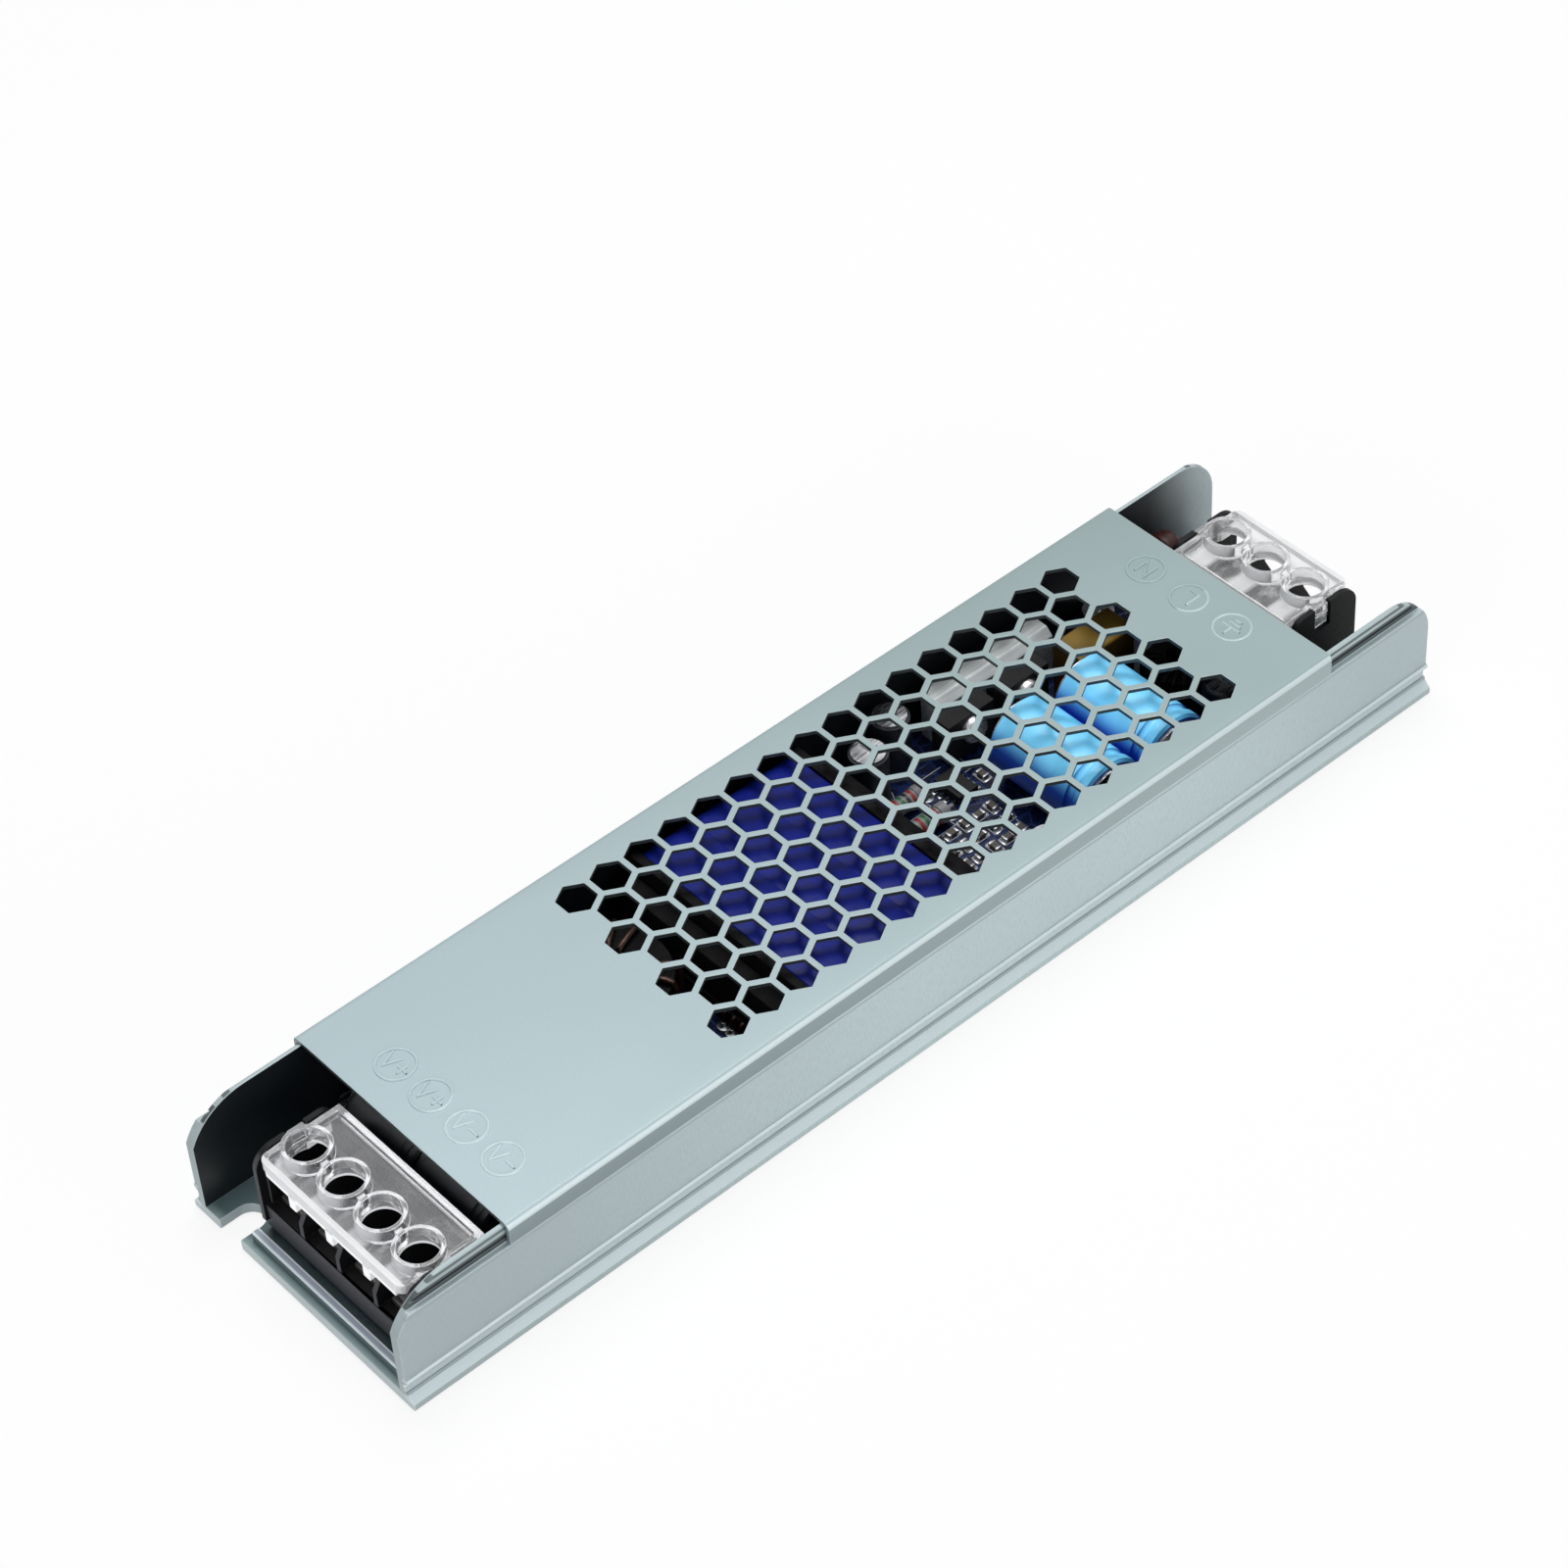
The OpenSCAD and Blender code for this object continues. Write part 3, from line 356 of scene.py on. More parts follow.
CHANNEL_TONE = (0.524, 0.631, 0.645)
CHANNEL_SHADE = (0.3, 0.35, 0.365)
SHADE_LINE = (0.33, 0.395, 0.415)
SEAM_SHADE = (0.035, 0.048, 0.05)
BEAD_HIGHLIGHT = (0.7, 0.8, 0.83)
GLEAM_TONE = (0.86, 0.93, 0.95)
DEEP_SHADE = (0.006, 0.009, 0.011)
WORN_HIGHLIGHT = (0.7, 0.78, 0.8)
FLOOR_SHADE = (0.1, 0.155, 0.165)
FLOOR_LIGHTER_END = (0.27, 0.36, 0.365)
# Where each end of the walls turns darker with painted shade, and its share before and after
END_SHADE_DC = (0.0, -100.0, 0.0, 0.6)
END_SHADE_AC = (50.0, 100.0, 0.0, 0.4)
FLOOR_TOP = 2.0
FLOOR_SLACK = 0.05
FLOOR_EDGE_X = (103.6, 105.3)
END_FACE_X = (105.2, 105.4)
END_GLEAM = 0.3
INNER_SHADE_X = (89.5, 106.0)
# Limits of a normal's part along the way that a face looks
UPWARD = (0.8, 0.95)
INWARD = (0.4, 0.8)
OUTER_Y = 24.6
LIP_Y = 23.6
# Bands of painted highlight and painted shade along the mouldings of the outer wall and its lip
CHANNEL_LIGHT_BANDS = [
    # sideways limit, lowest, highest, softness, tone, share
    # painted highlight on the foot, shade at its root, highlight in the groove and at its edge, shade
    # at the bead's root, highlight on the bead
    (OUTER_Y, 1.3, 2.3, 0.1, BEAD_HIGHLIGHT, 0.6),
    (OUTER_Y, 2.45, 2.9, 0.06, SHADE_LINE, 0.8),
    (OUTER_Y, 2.95, 3.7, 0.08, GLEAM_TONE, 0.35),
    (OUTER_Y, 4.0, 4.4, 0.08, GLEAM_TONE, 0.95),
    (OUTER_Y, 4.6, 5.1, 0.05, SHADE_LINE, 0.8),
    (OUTER_Y, 5.35, 5.75, 0.1, BEAD_HIGHLIGHT, 0.7),
    # painted shade: a line under the lid, the groove of the lip and a line on the lip
    (OUTER_Y, 17.72, 18.05, 0.05, SHADE_LINE, 0.9),
    (LIP_Y, 18.75, 20.4, 0.08, SEAM_SHADE, 0.9),
    (LIP_Y, 21.15, 21.45, 0.06, SEAM_SHADE, 0.8),
]


def channel_paint():
    paint = Paint("channel_anodised", Metallic=0.15)
    speckle = paint.noise(4.2, detail=2.0)
    hairs = paint.noise(4.4, detail=2.0, stretch=(1, 1, 0.16))
    cloud = paint.noise(0.05, detail=2.0)
    tone = paint.tones(speckle, shade(CHANNEL_TONE, 0.9), shade(CHANNEL_TONE, 1.08))
    tone = paint.stain(tone, hairs, 0.4, 0.7, 0.4, shade(CHANNEL_TONE, 0.72))
    tone = paint.stain(tone, cloud, 0.35, 0.7, 0.2, shade(CHANNEL_TONE, 0.85))
    x, y, z = (paint.axis(i) for i in range(3))
    length = paint.math("ABSOLUTE", x)
    off = paint.math("ABSOLUTE", y)
    # Both ends of the walls are painted in shade, darker than the middle
    end_shade = paint.math("MAXIMUM", paint.span_mm(x, *END_SHADE_DC), paint.span_mm(x, *END_SHADE_AC))
    tone = paint.blend(end_shade, tone, CHANNEL_SHADE)
    # Edges lighter, as wear and as a painted highlight
    tone = paint.edge_wear_and_highlight(tone, 0.3, 0.5, WORN_HIGHLIGHT)
    # Painted highlight and shade in bands along the mouldings
    for limit, low, high, soft, light_tone, share in CHANNEL_LIGHT_BANDS:
        line = paint.band(z, low * MM, high * MM, soft * MM)
        outside = paint.span_mm(off, limit - SOFT, limit, 0.0, share)
        tone = paint.blend(paint.times(line, outside), tone, light_tone)
    # The inside of the floor is painted in shade, darker than the walls and lighter towards its ends
    slack = FLOOR_SLACK * MM
    level = paint.band(z, FLOOR_TOP * MM - slack, FLOOR_TOP * MM + slack, slack)
    upward = paint.span(paint.axis(2, "Normal"), *UPWARD)
    floor = paint.blend(paint.span_mm(length, *FLOOR_EDGE_X), FLOOR_SHADE, FLOOR_LIGHTER_END)
    tone = paint.blend(paint.times(level, upward), tone, floor)
    # The floor's end faces catch the light
    end = paint.span_mm(z, FLOOR_TOP, FLOOR_TOP + SOFT, END_GLEAM, 0.0)
    end = paint.times(end, paint.span_mm(length, *END_FACE_X))
    tone = paint.blend(end, tone, GLEAM_TONE)
    # The inner faces of the walls are painted in deep shade, less so at the input end
    side = paint.math("SIGN", paint.times(y, -1.0))
    inward = paint.span(paint.times(side, paint.axis(1, "Normal")), *INWARD)
    inward = paint.times(inward, paint.span_mm(z, FLOOR_TOP, FLOOR_TOP + SOFT))
    along = paint.span_mm(x, *INNER_SHADE_X, 1.0, 0.0)
    tone = paint.blend(paint.times(inward, along), tone, DEEP_SHADE)
    paint.colour(tone)
    paint.gloss(speckle, 0.36, 0.48)
    paint.bump(paint.math("ADD", paint.times(hairs, 0.8), speckle), 0.014)
    return paint.mat


LID_TONE_DC = (0.408, 0.517, 0.547)
LID_TONE_AC = (0.302, 0.395, 0.395)
SKIRT_SHADING_DC = (0.19, 0.24, 0.255)
SKIRT_SHADING_AC = (0.365, 0.44, 0.445)
FOLD_HIGHLIGHT = (0.8, 0.89, 0.91)
LID_FADE_X = (-90.0, 85.0)
LID_CORNER_Y = (0.0, 22.0)
LID_RIGHT_Y = (0.0, -1.0)
HOLES_Y = (23.0, 23.5)
# Upward part of the normal on the skirts, in the vent holes and on the fold, where light and shade
# are painted
SKIRT_SLOPE = (0.0, 0.14)
HOLE_SLOPE = (-2.0, 0.1, 0.1)
FOLD_SLOPE = (0.16, 0.75, 0.12)


def lid_paint(name, lift=1.0):
    """Satin finish, bluer at the output end and darker towards the input end's left corner, with
    painted light and shade on the skirts, painted shade in the vent holes and a painted highlight
    along the right fold. lift brightens its two main tones, which gives the raised marks a painted
    highlight."""
    paint = Paint(name, Metallic=0.1)
    speckle = paint.noise(4.0, detail=2.0)
    broad = paint.noise(0.03, detail=2.0)
    y = paint.axis(1)
    slope = paint.axis(2, "Normal")
    along = paint.span_mm(paint.axis(0), *LID_FADE_X)
    tone = paint.blend(along, shade(LID_TONE_DC, lift), shade(LID_TONE_AC, lift))
    tone = paint.stain(tone, speckle, 0.3, 0.7, 0.14, shade(LID_TONE_AC, 0.75))
    tone = paint.stain(tone, broad, 0.35, 0.7, 0.12, shade(LID_TONE_DC, 1.1))
    corner = paint.times(along, paint.span_mm(y, *LID_CORNER_Y, 0.0, 0.3))
    tone = paint.blend(corner, tone, shade(LID_TONE_AC, 0.7))
    # The skirts get painted light and shade of their own: dark at the output end, lighter at the
    # input end
    skirt = paint.blend(along, SKIRT_SHADING_DC, SKIRT_SHADING_AC)
    tone = paint.blend(paint.span(slope, *SKIRT_SLOPE, 0.9, 0.0), tone, skirt)
    # The walls of the vent holes are painted in shade below their top edge
    inside = paint.span_mm(paint.math("ABSOLUTE", y), *HOLES_Y, 0.9, 0.0)
    inside = paint.times(inside, paint.band(slope, *HOLE_SLOPE))
    tone = paint.blend(inside, tone, DEEP_SHADE)
    # Edges lighter, as wear and as a painted highlight
    tone = paint.edge_wear_and_highlight(tone, 0.22, 0.4, WORN_HIGHLIGHT)
    # A painted highlight along the right fold
    right = paint.span_mm(y, *LID_RIGHT_Y, 0.0, 0.6)
    fold = paint.times(paint.band(slope, *FOLD_SLOPE), right)
    tone = paint.blend(fold, tone, FOLD_HIGHLIGHT)
    paint.colour(tone)
    paint.gloss(speckle, 0.36, 0.48)
    paint.bump(speckle, 0.008)
    return paint.mat


WAY_PITCH = 8.7
COVER_RIM = 6.5
COVER_END_IN = 1.0
COVER_CLIP_OUT = 1.05
COLLAR_IN = 1.2
COLLAR_FOOT = 17.8
COLLAR_BASE = 18.9
COLLAR_TOP = 20.7
# How clear the parts of a cover are, from 0 to 1
CLEAR_STRIP = 0.15
CLEAR_RIM = 0.8
CLEAR_EDGE = 0.12
CLEAR_TOP = 0.78
EDGE_GLOW = 0.22
DC_CLEAR = (0.92, 0.86, 0.97, 0.35)
AC_CLEAR = (0.93, 0.1, 0.88, 0.2)
DC_TINTS = ((0.935, 0.945, 0.965), (0.985, 0.99, 1.0))
AC_TINTS = ((0.95, 0.96, 0.97), (0.99, 0.995, 1.0))
# Fades of the panel towards its wire side, and of the light beside and on the collars
PANEL_FADE = (2.0, 5.5)
GLARE_FADE = (-3.6, -3.0)
GLARE_TURN = (-0.1, 0.7)
GLARE = 0.8
LIT_FADE = (-3.6, -1.5)


def clear_paint(name, node, outward, ways, clear, tints):
    """Clear moulding, painted milky where light gathers: along its wire side, on its pegs, at the
    foot of its collars and on their output side; a faint painted glow lies on its edges and the foot
    of its collars. outward is the x sign of the wire side; clear says how clear the panel, its wire
    side, the collars and their output side are; tints are its darker and lighter colour."""
    inner, front, collar, collar_lit = clear
    low, high = (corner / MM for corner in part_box(node))
    mid = (low + high) / 2
    end = (high.y - low.y) / 2 - COVER_CLIP_OUT - COVER_END_IN
    paint = Paint(name, IOR=1.49)
    cloud = paint.noise(0.3, detail=2.0)
    paint.colour(paint.tones(cloud, *tints))
    x, y, z = (paint.axis(i) for i in range(3))
    off = paint.math("SUBTRACT", x, mid.x * MM)
    ahead = paint.times(off, outward)
    across = paint.math("ABSOLUTE", off)
    aside = paint.math("ABSOLUTE", paint.math("SUBTRACT", y, mid.y * MM))
    past = paint.math("SUBTRACT", x, (mid.x + outward * COLLAR_IN) * MM)
    # Panel
    panel = paint.between(paint.span_mm(ahead, *PANEL_FADE), inner, front)
    panel = paint.between(paint.span(cloud, 0.42, 0.62, 0.0, 0.25), panel, front)
    first = mid.y - (ways - 1) * WAY_PITCH / 2
    turn = paint.math("SUBTRACT", y, first * MM)
    turn = paint.times(turn, 2 * math.pi / (WAY_PITCH * MM))
    beside = paint.span(paint.math("COSINE", turn), *GLARE_TURN)
    glare = paint.times(paint.span_mm(past, *GLARE_FADE, 1.0, 0.0), beside)
    panel = paint.between(paint.times(glare, GLARE), panel, collar_lit)
    # Collars
    wall = paint.between(paint.span_mm(past, *LIT_FADE, 1.0, 0.0), collar, collar_lit)
    wall = paint.between(paint.span_mm(z, COLLAR_TOP, COLLAR_TOP + SOFT), wall, CLEAR_TOP)
    look = paint.between(paint.span_mm(z, COLLAR_BASE - SOFT, COLLAR_BASE), panel, wall)
    # Rim, foot of the collars, edges and wire side
    rim = paint.span_mm(across, COVER_RIM - SOFT, COVER_RIM)
    rim = paint.math("MAXIMUM", rim, paint.span_mm(aside, end - SOFT, end))
    look = paint.between(rim, look, CLEAR_RIM)
    foot = paint.span_mm(z, COLLAR_FOOT, COLLAR_FOOT + SOFT, 1.0, 0.0)
    foot = paint.times(foot, paint.span_mm(aside, end - SOFT, end, 1.0, 0.0))
    bright = paint.math("MAXIMUM", paint.edges(0.16), foot)
    look = paint.between(bright, look, CLEAR_EDGE)
    strip = paint.span_mm(ahead, COVER_RIM - SOFT, COVER_RIM)
    look = paint.between(strip, look, CLEAR_STRIP)
    paint.put(paint.bsdf, Transmission_Weight=look)
    # A faint painted glow on the edges and at the foot of the collars
    paint.glow(WHITE, bright, EDGE_GLOW)
    paint.gloss(cloud, 0.03, 0.09)
    paint.bump(cloud, 0.02)
    return paint.mat


BLOCK_TONE = (0.006, 0.006, 0.007)
BLOCK_LIT_FACE = (0.065, 0.066, 0.073)
BLOCK_LIT_X = (98.4, 98.7)
OUTWARD = (0.5, 0.8)


def block_paint():
    """Black moulding, with painted light on the sill and the fins' front edges, which face out of the
    case.
    """
    paint = Paint("black_moulding", Specular_IOR_Level=0.16)
    fine = paint.noise(1.8, detail=4.0)
    tone = paint.tones(fine, shade(BLOCK_TONE, 0.8), shade(BLOCK_TONE, 1.2))
    # Painted light on the faces that look out of the case at its end
    x = paint.axis(0)
    outward = paint.times(paint.math("SIGN", x), paint.axis(0, "Normal"))
    outward = paint.span(outward, *OUTWARD)
    face = paint.span_mm(paint.math("ABSOLUTE", x), *BLOCK_LIT_X)
    tone = paint.blend(paint.times(outward, face), tone, BLOCK_LIT_FACE)
    tone = paint.edge_wear_and_highlight(tone, 0.2, 0.6, shade(BLOCK_LIT_FACE, 0.8))
    paint.colour(tone)
    paint.gloss(fine, 0.44, 0.58)
    paint.bump(fine, 0.02)
    return paint.mat


TRAY_SHADE = (0.075, 0.115, 0.125)
TRAY_LIT_TOP = (0.4, 0.46, 0.55)
TRAY_EDGE_HIGHLIGHT = (0.88, 0.95, 1.0)
RIB_WIDTH = 1.4
RIB_SKIN = 0.3
OUTER_LINE = 0.3
INNER_LINE = 0.35


def tray_paint():
    """Milky sheet, painted dark as shade, with a painted highlight on top of the ribs and along their
    edges.
    """
    low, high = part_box("insulating_tray")
    paint = Paint("tray_sheet")
    fine = paint.noise(1.5, detail=4.0)
    broad = paint.noise(0.12, detail=2.0)
    # The sheet is painted dark, as shade
    tone = paint.tones(broad, shade(TRAY_SHADE, 0.88), shade(TRAY_SHADE, 1.12))
    tone = paint.stain(tone, fine, 0.35, 0.65, 0.4, shade(TRAY_SHADE, 1.5))
    top = high.z / MM
    # Painted light on the tops of the ribs
    rib = paint.span_mm(paint.axis(2), top - RIB_SKIN, top - SOFT)
    tone = paint.blend(rib, tone, TRAY_LIT_TOP)
    # Painted highlights along the ribs' edges
    x = paint.axis(0)
    left, right = paint.math("SUBTRACT", x, low.x), paint.math("SUBTRACT", high.x, x)
    into = paint.math("MINIMUM", left, right)
    rim_highlights = paint.math(
        "MAXIMUM",
        paint.span_mm(into, OUTER_LINE, OUTER_LINE + SOFT, 1.0, 0.0),
        paint.span_mm(into, RIB_WIDTH - INNER_LINE, RIB_WIDTH - INNER_LINE + SOFT),
    )
    tone = paint.blend(paint.times(rib, rim_highlights), tone, TRAY_EDGE_HIGHLIGHT)
    paint.colour(tone)
    paint.gloss(fine, 0.34, 0.46)
    paint.bump(fine, 0.015)
    return paint.mat


# Place on the way across a track, with its tone
TRACK_TONES = (
    (0.0, (0.012, 0.03, 0.13)),
    (0.06, (0.016, 0.04, 0.17)),
    (0.1, (0.005, 0.01, 0.045)),
)
BOARD_STAIN = (0.004, 0.008, 0.03)
TRACK_EDGE = (0.05, 0.11)


def board_paint():
    paint = Paint("board_mask", Specular_IOR_Level=0.25, Coat_Weight=0.1, Coat_Roughness=0.2)
    tracks = paint.cell_edges(0.42)
    weave = paint.noise(2.4, detail=2.0)
    tone = paint.ramp(tracks, *TRACK_TONES)
    paint.colour(paint.stain(tone, weave, 0.4, 0.7, 0.3, BOARD_STAIN))
    paint.gloss(weave, 0.24, 0.36)
    paint.bump(paint.span(tracks, *TRACK_EDGE, 1.0, 0.0), 0.03)
    return paint.mat


TAPE_TONES = ((0.004, 0.011, 0.17), (0.008, 0.019, 0.27))
TAPE_STAIN = (0.005, 0.009, 0.11)


def tape_paint():
    paint = Paint("blue_tape", Specular_IOR_Level=0.12)
    wrinkle = paint.noise(0.35, detail=3.0, stretch=(1, 0.3, 1))
    fine = paint.noise(2.0, detail=2.0)
    tone = paint.tones(wrinkle, *TAPE_TONES)
    paint.colour(paint.stain(tone, fine, 0.4, 0.7, 0.25, TAPE_STAIN))
    paint.gloss(wrinkle, 0.3, 0.42)
    paint.bump(wrinkle, 0.1)
    return paint.mat


SLEEVE_GLOW = (0.08, 0.6, 1.0)
SLEEVE_GLOW_POWER = 0.28
SLEEVE_TOP = (0.25, 0.85)


def sleeve_paint(name, colour, low=None, glow=None, **sockets):
    """Shrunk film, with painted shade on the flanks and a faint painted glow on top, if they are
    given.
    """
    paint = Paint(name, **sockets)
    shrink = paint.noise(0.3, detail=2.0, stretch=(1, 0.25, 1))
    fine = paint.noise(2.5, detail=2.0)
    tone = paint.tones(shrink, shade(colour, 0.95), shade(colour, 1.05))
    tone = paint.stain(tone, fine, 0.4, 0.7, 0.15, shade(colour, 0.75))
    top = paint.span(paint.axis(2, "Normal"), *SLEEVE_TOP)
    # Painted shade on the flanks, lifting as the face turns up
    if low:
        tone = paint.blend(top, low, tone)
    # A faint painted glow on the top
    if glow:
        paint.glow(glow, top, SLEEVE_GLOW_POWER)
    paint.colour(tone)
    paint.gloss(fine, 0.3, 0.4)
    paint.bump(shrink, 0.015)
    return paint.mat


BRUSHED = (0.08, 1, 1)
EVEN = (1, 1, 1)


def metal_paint(name, colour, rough, stretch=BRUSHED, metallic=1.0, wear=None, **sockets):
    """Metal or enamel with brush lines and tarnish, and a tone on its edges for wear, if one is
    given.
    """
    paint = Paint(name, Metallic=metallic, **sockets)
    brush = paint.noise(2.2, detail=3.0, stretch=stretch)
    tarnish = paint.noise(0.25, detail=2.0)
    tone = paint.tones(brush, shade(colour, 0.82), shade(colour, 1.08))
    tone = paint.stain(tone, tarnish, 0.4, 0.8, 0.3, shade(colour, 0.65))
    if wear:
        tone = paint.blend(paint.edges(0.2), tone, wear)
    paint.colour(tone)
    paint.gloss(brush, rough - 0.07, rough + 0.1)
    paint.bump(brush, 0.006)
    return paint.mat


DARK_GREY = (0.008, 0.008, 0.009)
# Sleeve colours: the top, then the painted shade on the flanks
SKY_AND_FLANK_SHADE = ((0.255, 0.69, 1.0), (0.016, 0.085, 0.6))
GOLD_AND_FLANK_SHADE = ((0.24, 0.15, 0.025), (0.06, 0.035, 0.007))
# After the colour comes the roughness; in grained, then the grain's fineness and depth in mm
PAINTS = {
    "channel": channel_paint(),
    "lid": lid_paint("lid_satin"),
    # The raised marks: a lighter copy of the lid's paint, as a painted highlight
    "mark": lid_paint("lid_marks", lift=1.2),
    "tray": tray_paint(),
    "board": board_paint(),
    "post": metal_paint("brass", (0.72, 0.52, 0.2), 0.28),
    "zinc": metal_paint("zinc", (0.66, 0.67, 0.69), 0.28),
    "block": block_paint(),
    "tin": metal_paint("tinned", (0.46, 0.47, 0.48), 0.32),
    # Metal in the terminal bays, darkened with painted shade
    "bay_bar": metal_paint("bay_bar_shaded", (0.2, 0.195, 0.18), 0.4),
    "clear": clear_paint(
        "clear_plastic_dc", "dc_terminal_cover", -1.0, DC_WAYS, DC_CLEAR, DC_TINTS
    ),
    "clear_ac": clear_paint(
        "clear_plastic_ac", "ac_terminal_cover", 1.0, AC_WAYS, AC_CLEAR, AC_TINTS
    ),
    "screw": metal_paint("dark_steel", (0.1, 0.1, 0.105), 0.35, wear=(0.3, 0.3, 0.31)),
    # Clamps darkened with painted shade
    "clamp": metal_paint("clamp_steel_shaded", (0.18, 0.18, 0.19), 0.4),
    "tape": tape_paint(),
    "bobbin": grained("bobbin_moulding", BLOCK_TONE, 0.6, 1.8, 0.02, Specular_IOR_Level=0.08),
    "ferrite": grained("ferrite", DARK_GREY, 0.7, 2.4, 0.04, Specular_IOR_Level=0.08),
    "sleeve_blue": sleeve_paint("sky_sleeve", *SKY_AND_FLANK_SHADE, SLEEVE_GLOW, Specular_IOR_Level=0.5),
    "can": metal_paint("can_aluminium", (0.5, 0.51, 0.53), 0.3),
    "film": sleeve_paint("gold_film", *GOLD_AND_FLANK_SHADE, Specular_IOR_Level=0.3),
    "bar": metal_paint(
        "bar_aluminium", (0.86, 0.9, 0.9), 0.4, metallic=0.2, wear=(0.84, 0.87, 0.87)
    ),
    "epoxy": grained("epoxy", DARK_GREY, 0.55, 2.2, 0.02, Specular_IOR_Level=0.3),
    "sleeve_dark": sleeve_paint("dark_sleeve", (0.012, 0.016, 0.022)),
    "resistor": grained("resistor_lacquer", (0.34, 0.35, 0.36), 0.35, 2.0, 0.02),
    "chip": grained("chip_ceramic", (0.11, 0.095, 0.08), 0.5, 3.0, 0.01),
    "coil": metal_paint("enamelled_copper", (0.035, 0.014, 0.008), 0.35, EVEN, 0.5),
    "coil_dark": metal_paint(
        "dark_enamel", (0.005, 0.004, 0.003), 0.6, EVEN, 0.1, Specular_IOR_Level=0.1
    ),
    "ceramic": grained("ceramic", (0.62, 0.6, 0.55), 0.35, 1.6, 0.01),
    "disc": grained(
        "disc_lacquer", (0.035, 0.008, 0.007), 0.4, 1.6, 0.03, Specular_IOR_Level=0.25
    ),
    "ink": grained("white_ink", (0.7, 0.72, 0.74), 0.5, 3.0, 0.01),
    "band_red": grained("red_band", (0.42, 0.03, 0.02), 0.35, 2.0, 0.01),
    "band_green": grained("green_band", (0.03, 0.2, 0.06), 0.35, 2.0, 0.01),
    "band_dark": grained("dark_band", (0.02, 0.018, 0.016), 0.35, 2.0, 0.01),
}


# CAD nodes: materials and softened edges

SOFT_EDGES = {
    "housing_channel": 0.12, "perforated_lid": 0.1, "insulating_tray": 0.1, "circuit_board": 0.08,
    "dc_terminal_body": 0.12, "ac_terminal_body": 0.12,
    "dc_terminal_cover": 0.14, "ac_terminal_cover": 0.14,
    "dc_terminal_bars": 0.1, "ac_terminal_bars": 0.1,
    "transformer_winding": 0.3, "transformer_bobbin": 0.2, "transformer_core": 0.25,
    "heat_bar": 0.15, "film_capacitor": 0.3, "power_transistors": 0.15, "rectifiers": 0.15,
    "rectifier_clamp": 0.12, "control_chip": 0.08, "chip_parts": 0.06, "surge_disc": 1.1,
    "board_screws": 0.1, "base_screws": 0.05,
}
MOVING_EDGE = 0.08
OWN_PAINTS = {
    "ac_terminal_cover": "clear_ac", "dc_terminal_bars": "bay_bar", "ac_terminal_bars": "bay_bar",
}
WELD_GAP = 1e-6
FLAT_ANGLE = math.radians(0.2)
SHARP_ANGLE = math.radians(35)
BEVEL_STEPS = 2


def soften(thing, width):
    """Rounds a node's sharp edges with modifiers, leaving its own mesh as it is."""
    thing.data.polygons.foreach_set("use_smooth", [True] * len(thing.data.polygons))
    for name in ("custom_normal", "sharp_edge"):
        found = thing.data.attributes.get(name)
        if found:
            thing.data.attributes.remove(found)
    weld = thing.modifiers.new("weld", "WELD")
    weld.merge_threshold = WELD_GAP
    flat = thing.modifiers.new("flat", "DECIMATE")
    flat.decimate_type = "DISSOLVE"
    flat.angle_limit = FLAT_ANGLE
    bevel = thing.modifiers.new("edge", "BEVEL")
    bevel.width = width * MM
    bevel.segments = BEVEL_STEPS
    bevel.limit_method = "ANGLE"
    bevel.angle_limit = SHARP_ANGLE
    bevel.use_clamp_overlap = False
    bevel.harden_normals = True


for name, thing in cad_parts.items():
    old = thing.data.materials[0].name.split(".")[0]
    thing.data.materials.clear()
    thing.data.materials.append(PAINTS[OWN_PAINTS.get(name, old)])
    if name in SOFT_EDGES:
        soften(thing, SOFT_EDGES[name])
    elif "_screw_" in name or "_clamp_" in name:
        soften(thing, MOVING_EDGE)


# Pieces, built in mm


def add_piece(name, bm, paint, body=CASE):
    mesh = bpy.data.meshes.new(name)
    bmesh.ops.recalc_face_normals(bm, faces=bm.faces)
    bm.to_mesh(mesh)
    bm.free()
    mesh.polygons.foreach_set("use_smooth", [True] * len(mesh.polygons))
    mesh.set_sharp_from_angle(angle=SHARP_ANGLE)
    mesh.materials.append(PAINTS[paint])
    made = place_object(name, mesh)
    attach(made, body)
    return made


def turned_to(axis):
    """The turn that brings z to an axis."""
    return Vector((0, 0, 1)).rotation_difference(Vector(axis)).to_matrix()


def skin(bm, rings, closed=False):
    """Joins rings of points. If closed, the last joins the first; if not, each end gets a face."""
    count = len(rings[0])
    for a, b in zip(rings, rings[1:] + (rings[:1] if closed else [])):
        for k in range(count):
            j = (k + 1) % count
            bm.faces.new((a[k], a[j], b[j], b[k]))
    if not closed:
        bm.faces.new(rings[0])
        bm.faces.new(rings[-1][::-1])


# Keeps the mitre of a sharp corner short
LEAST_MITRE = 0.35


def sweep(bm, path, profile, closed=False):
    """Runs an outline of (sideways, up) points along a flat path, with mitred corners."""
    path = [Vector(p) for p in path]
    count = len(path)
    rings = []
    for i, point in enumerate(path):
        before = path[i - 1] if i or closed else None
        after = path[(i + 1) % count] if i < count - 1 or closed else None
        pairs = ((before, point), (point, after))
        steps = [(b - a).normalized() for a, b in pairs if a and b]
        ahead = sum(steps, Vector()).normalized()
        side = Vector((-ahead.y, ahead.x, 0))
        square = Vector((-steps[0].y, steps[0].x, 0))
        reach = 1 / max(LEAST_MITRE, side.dot(square))
        ring = [point + side * s * reach + Vector((0, 0, u)) for s, u in profile]
        rings.append([bm.verts.new(spot * MM) for spot in ring])
    skin(bm, rings, closed)


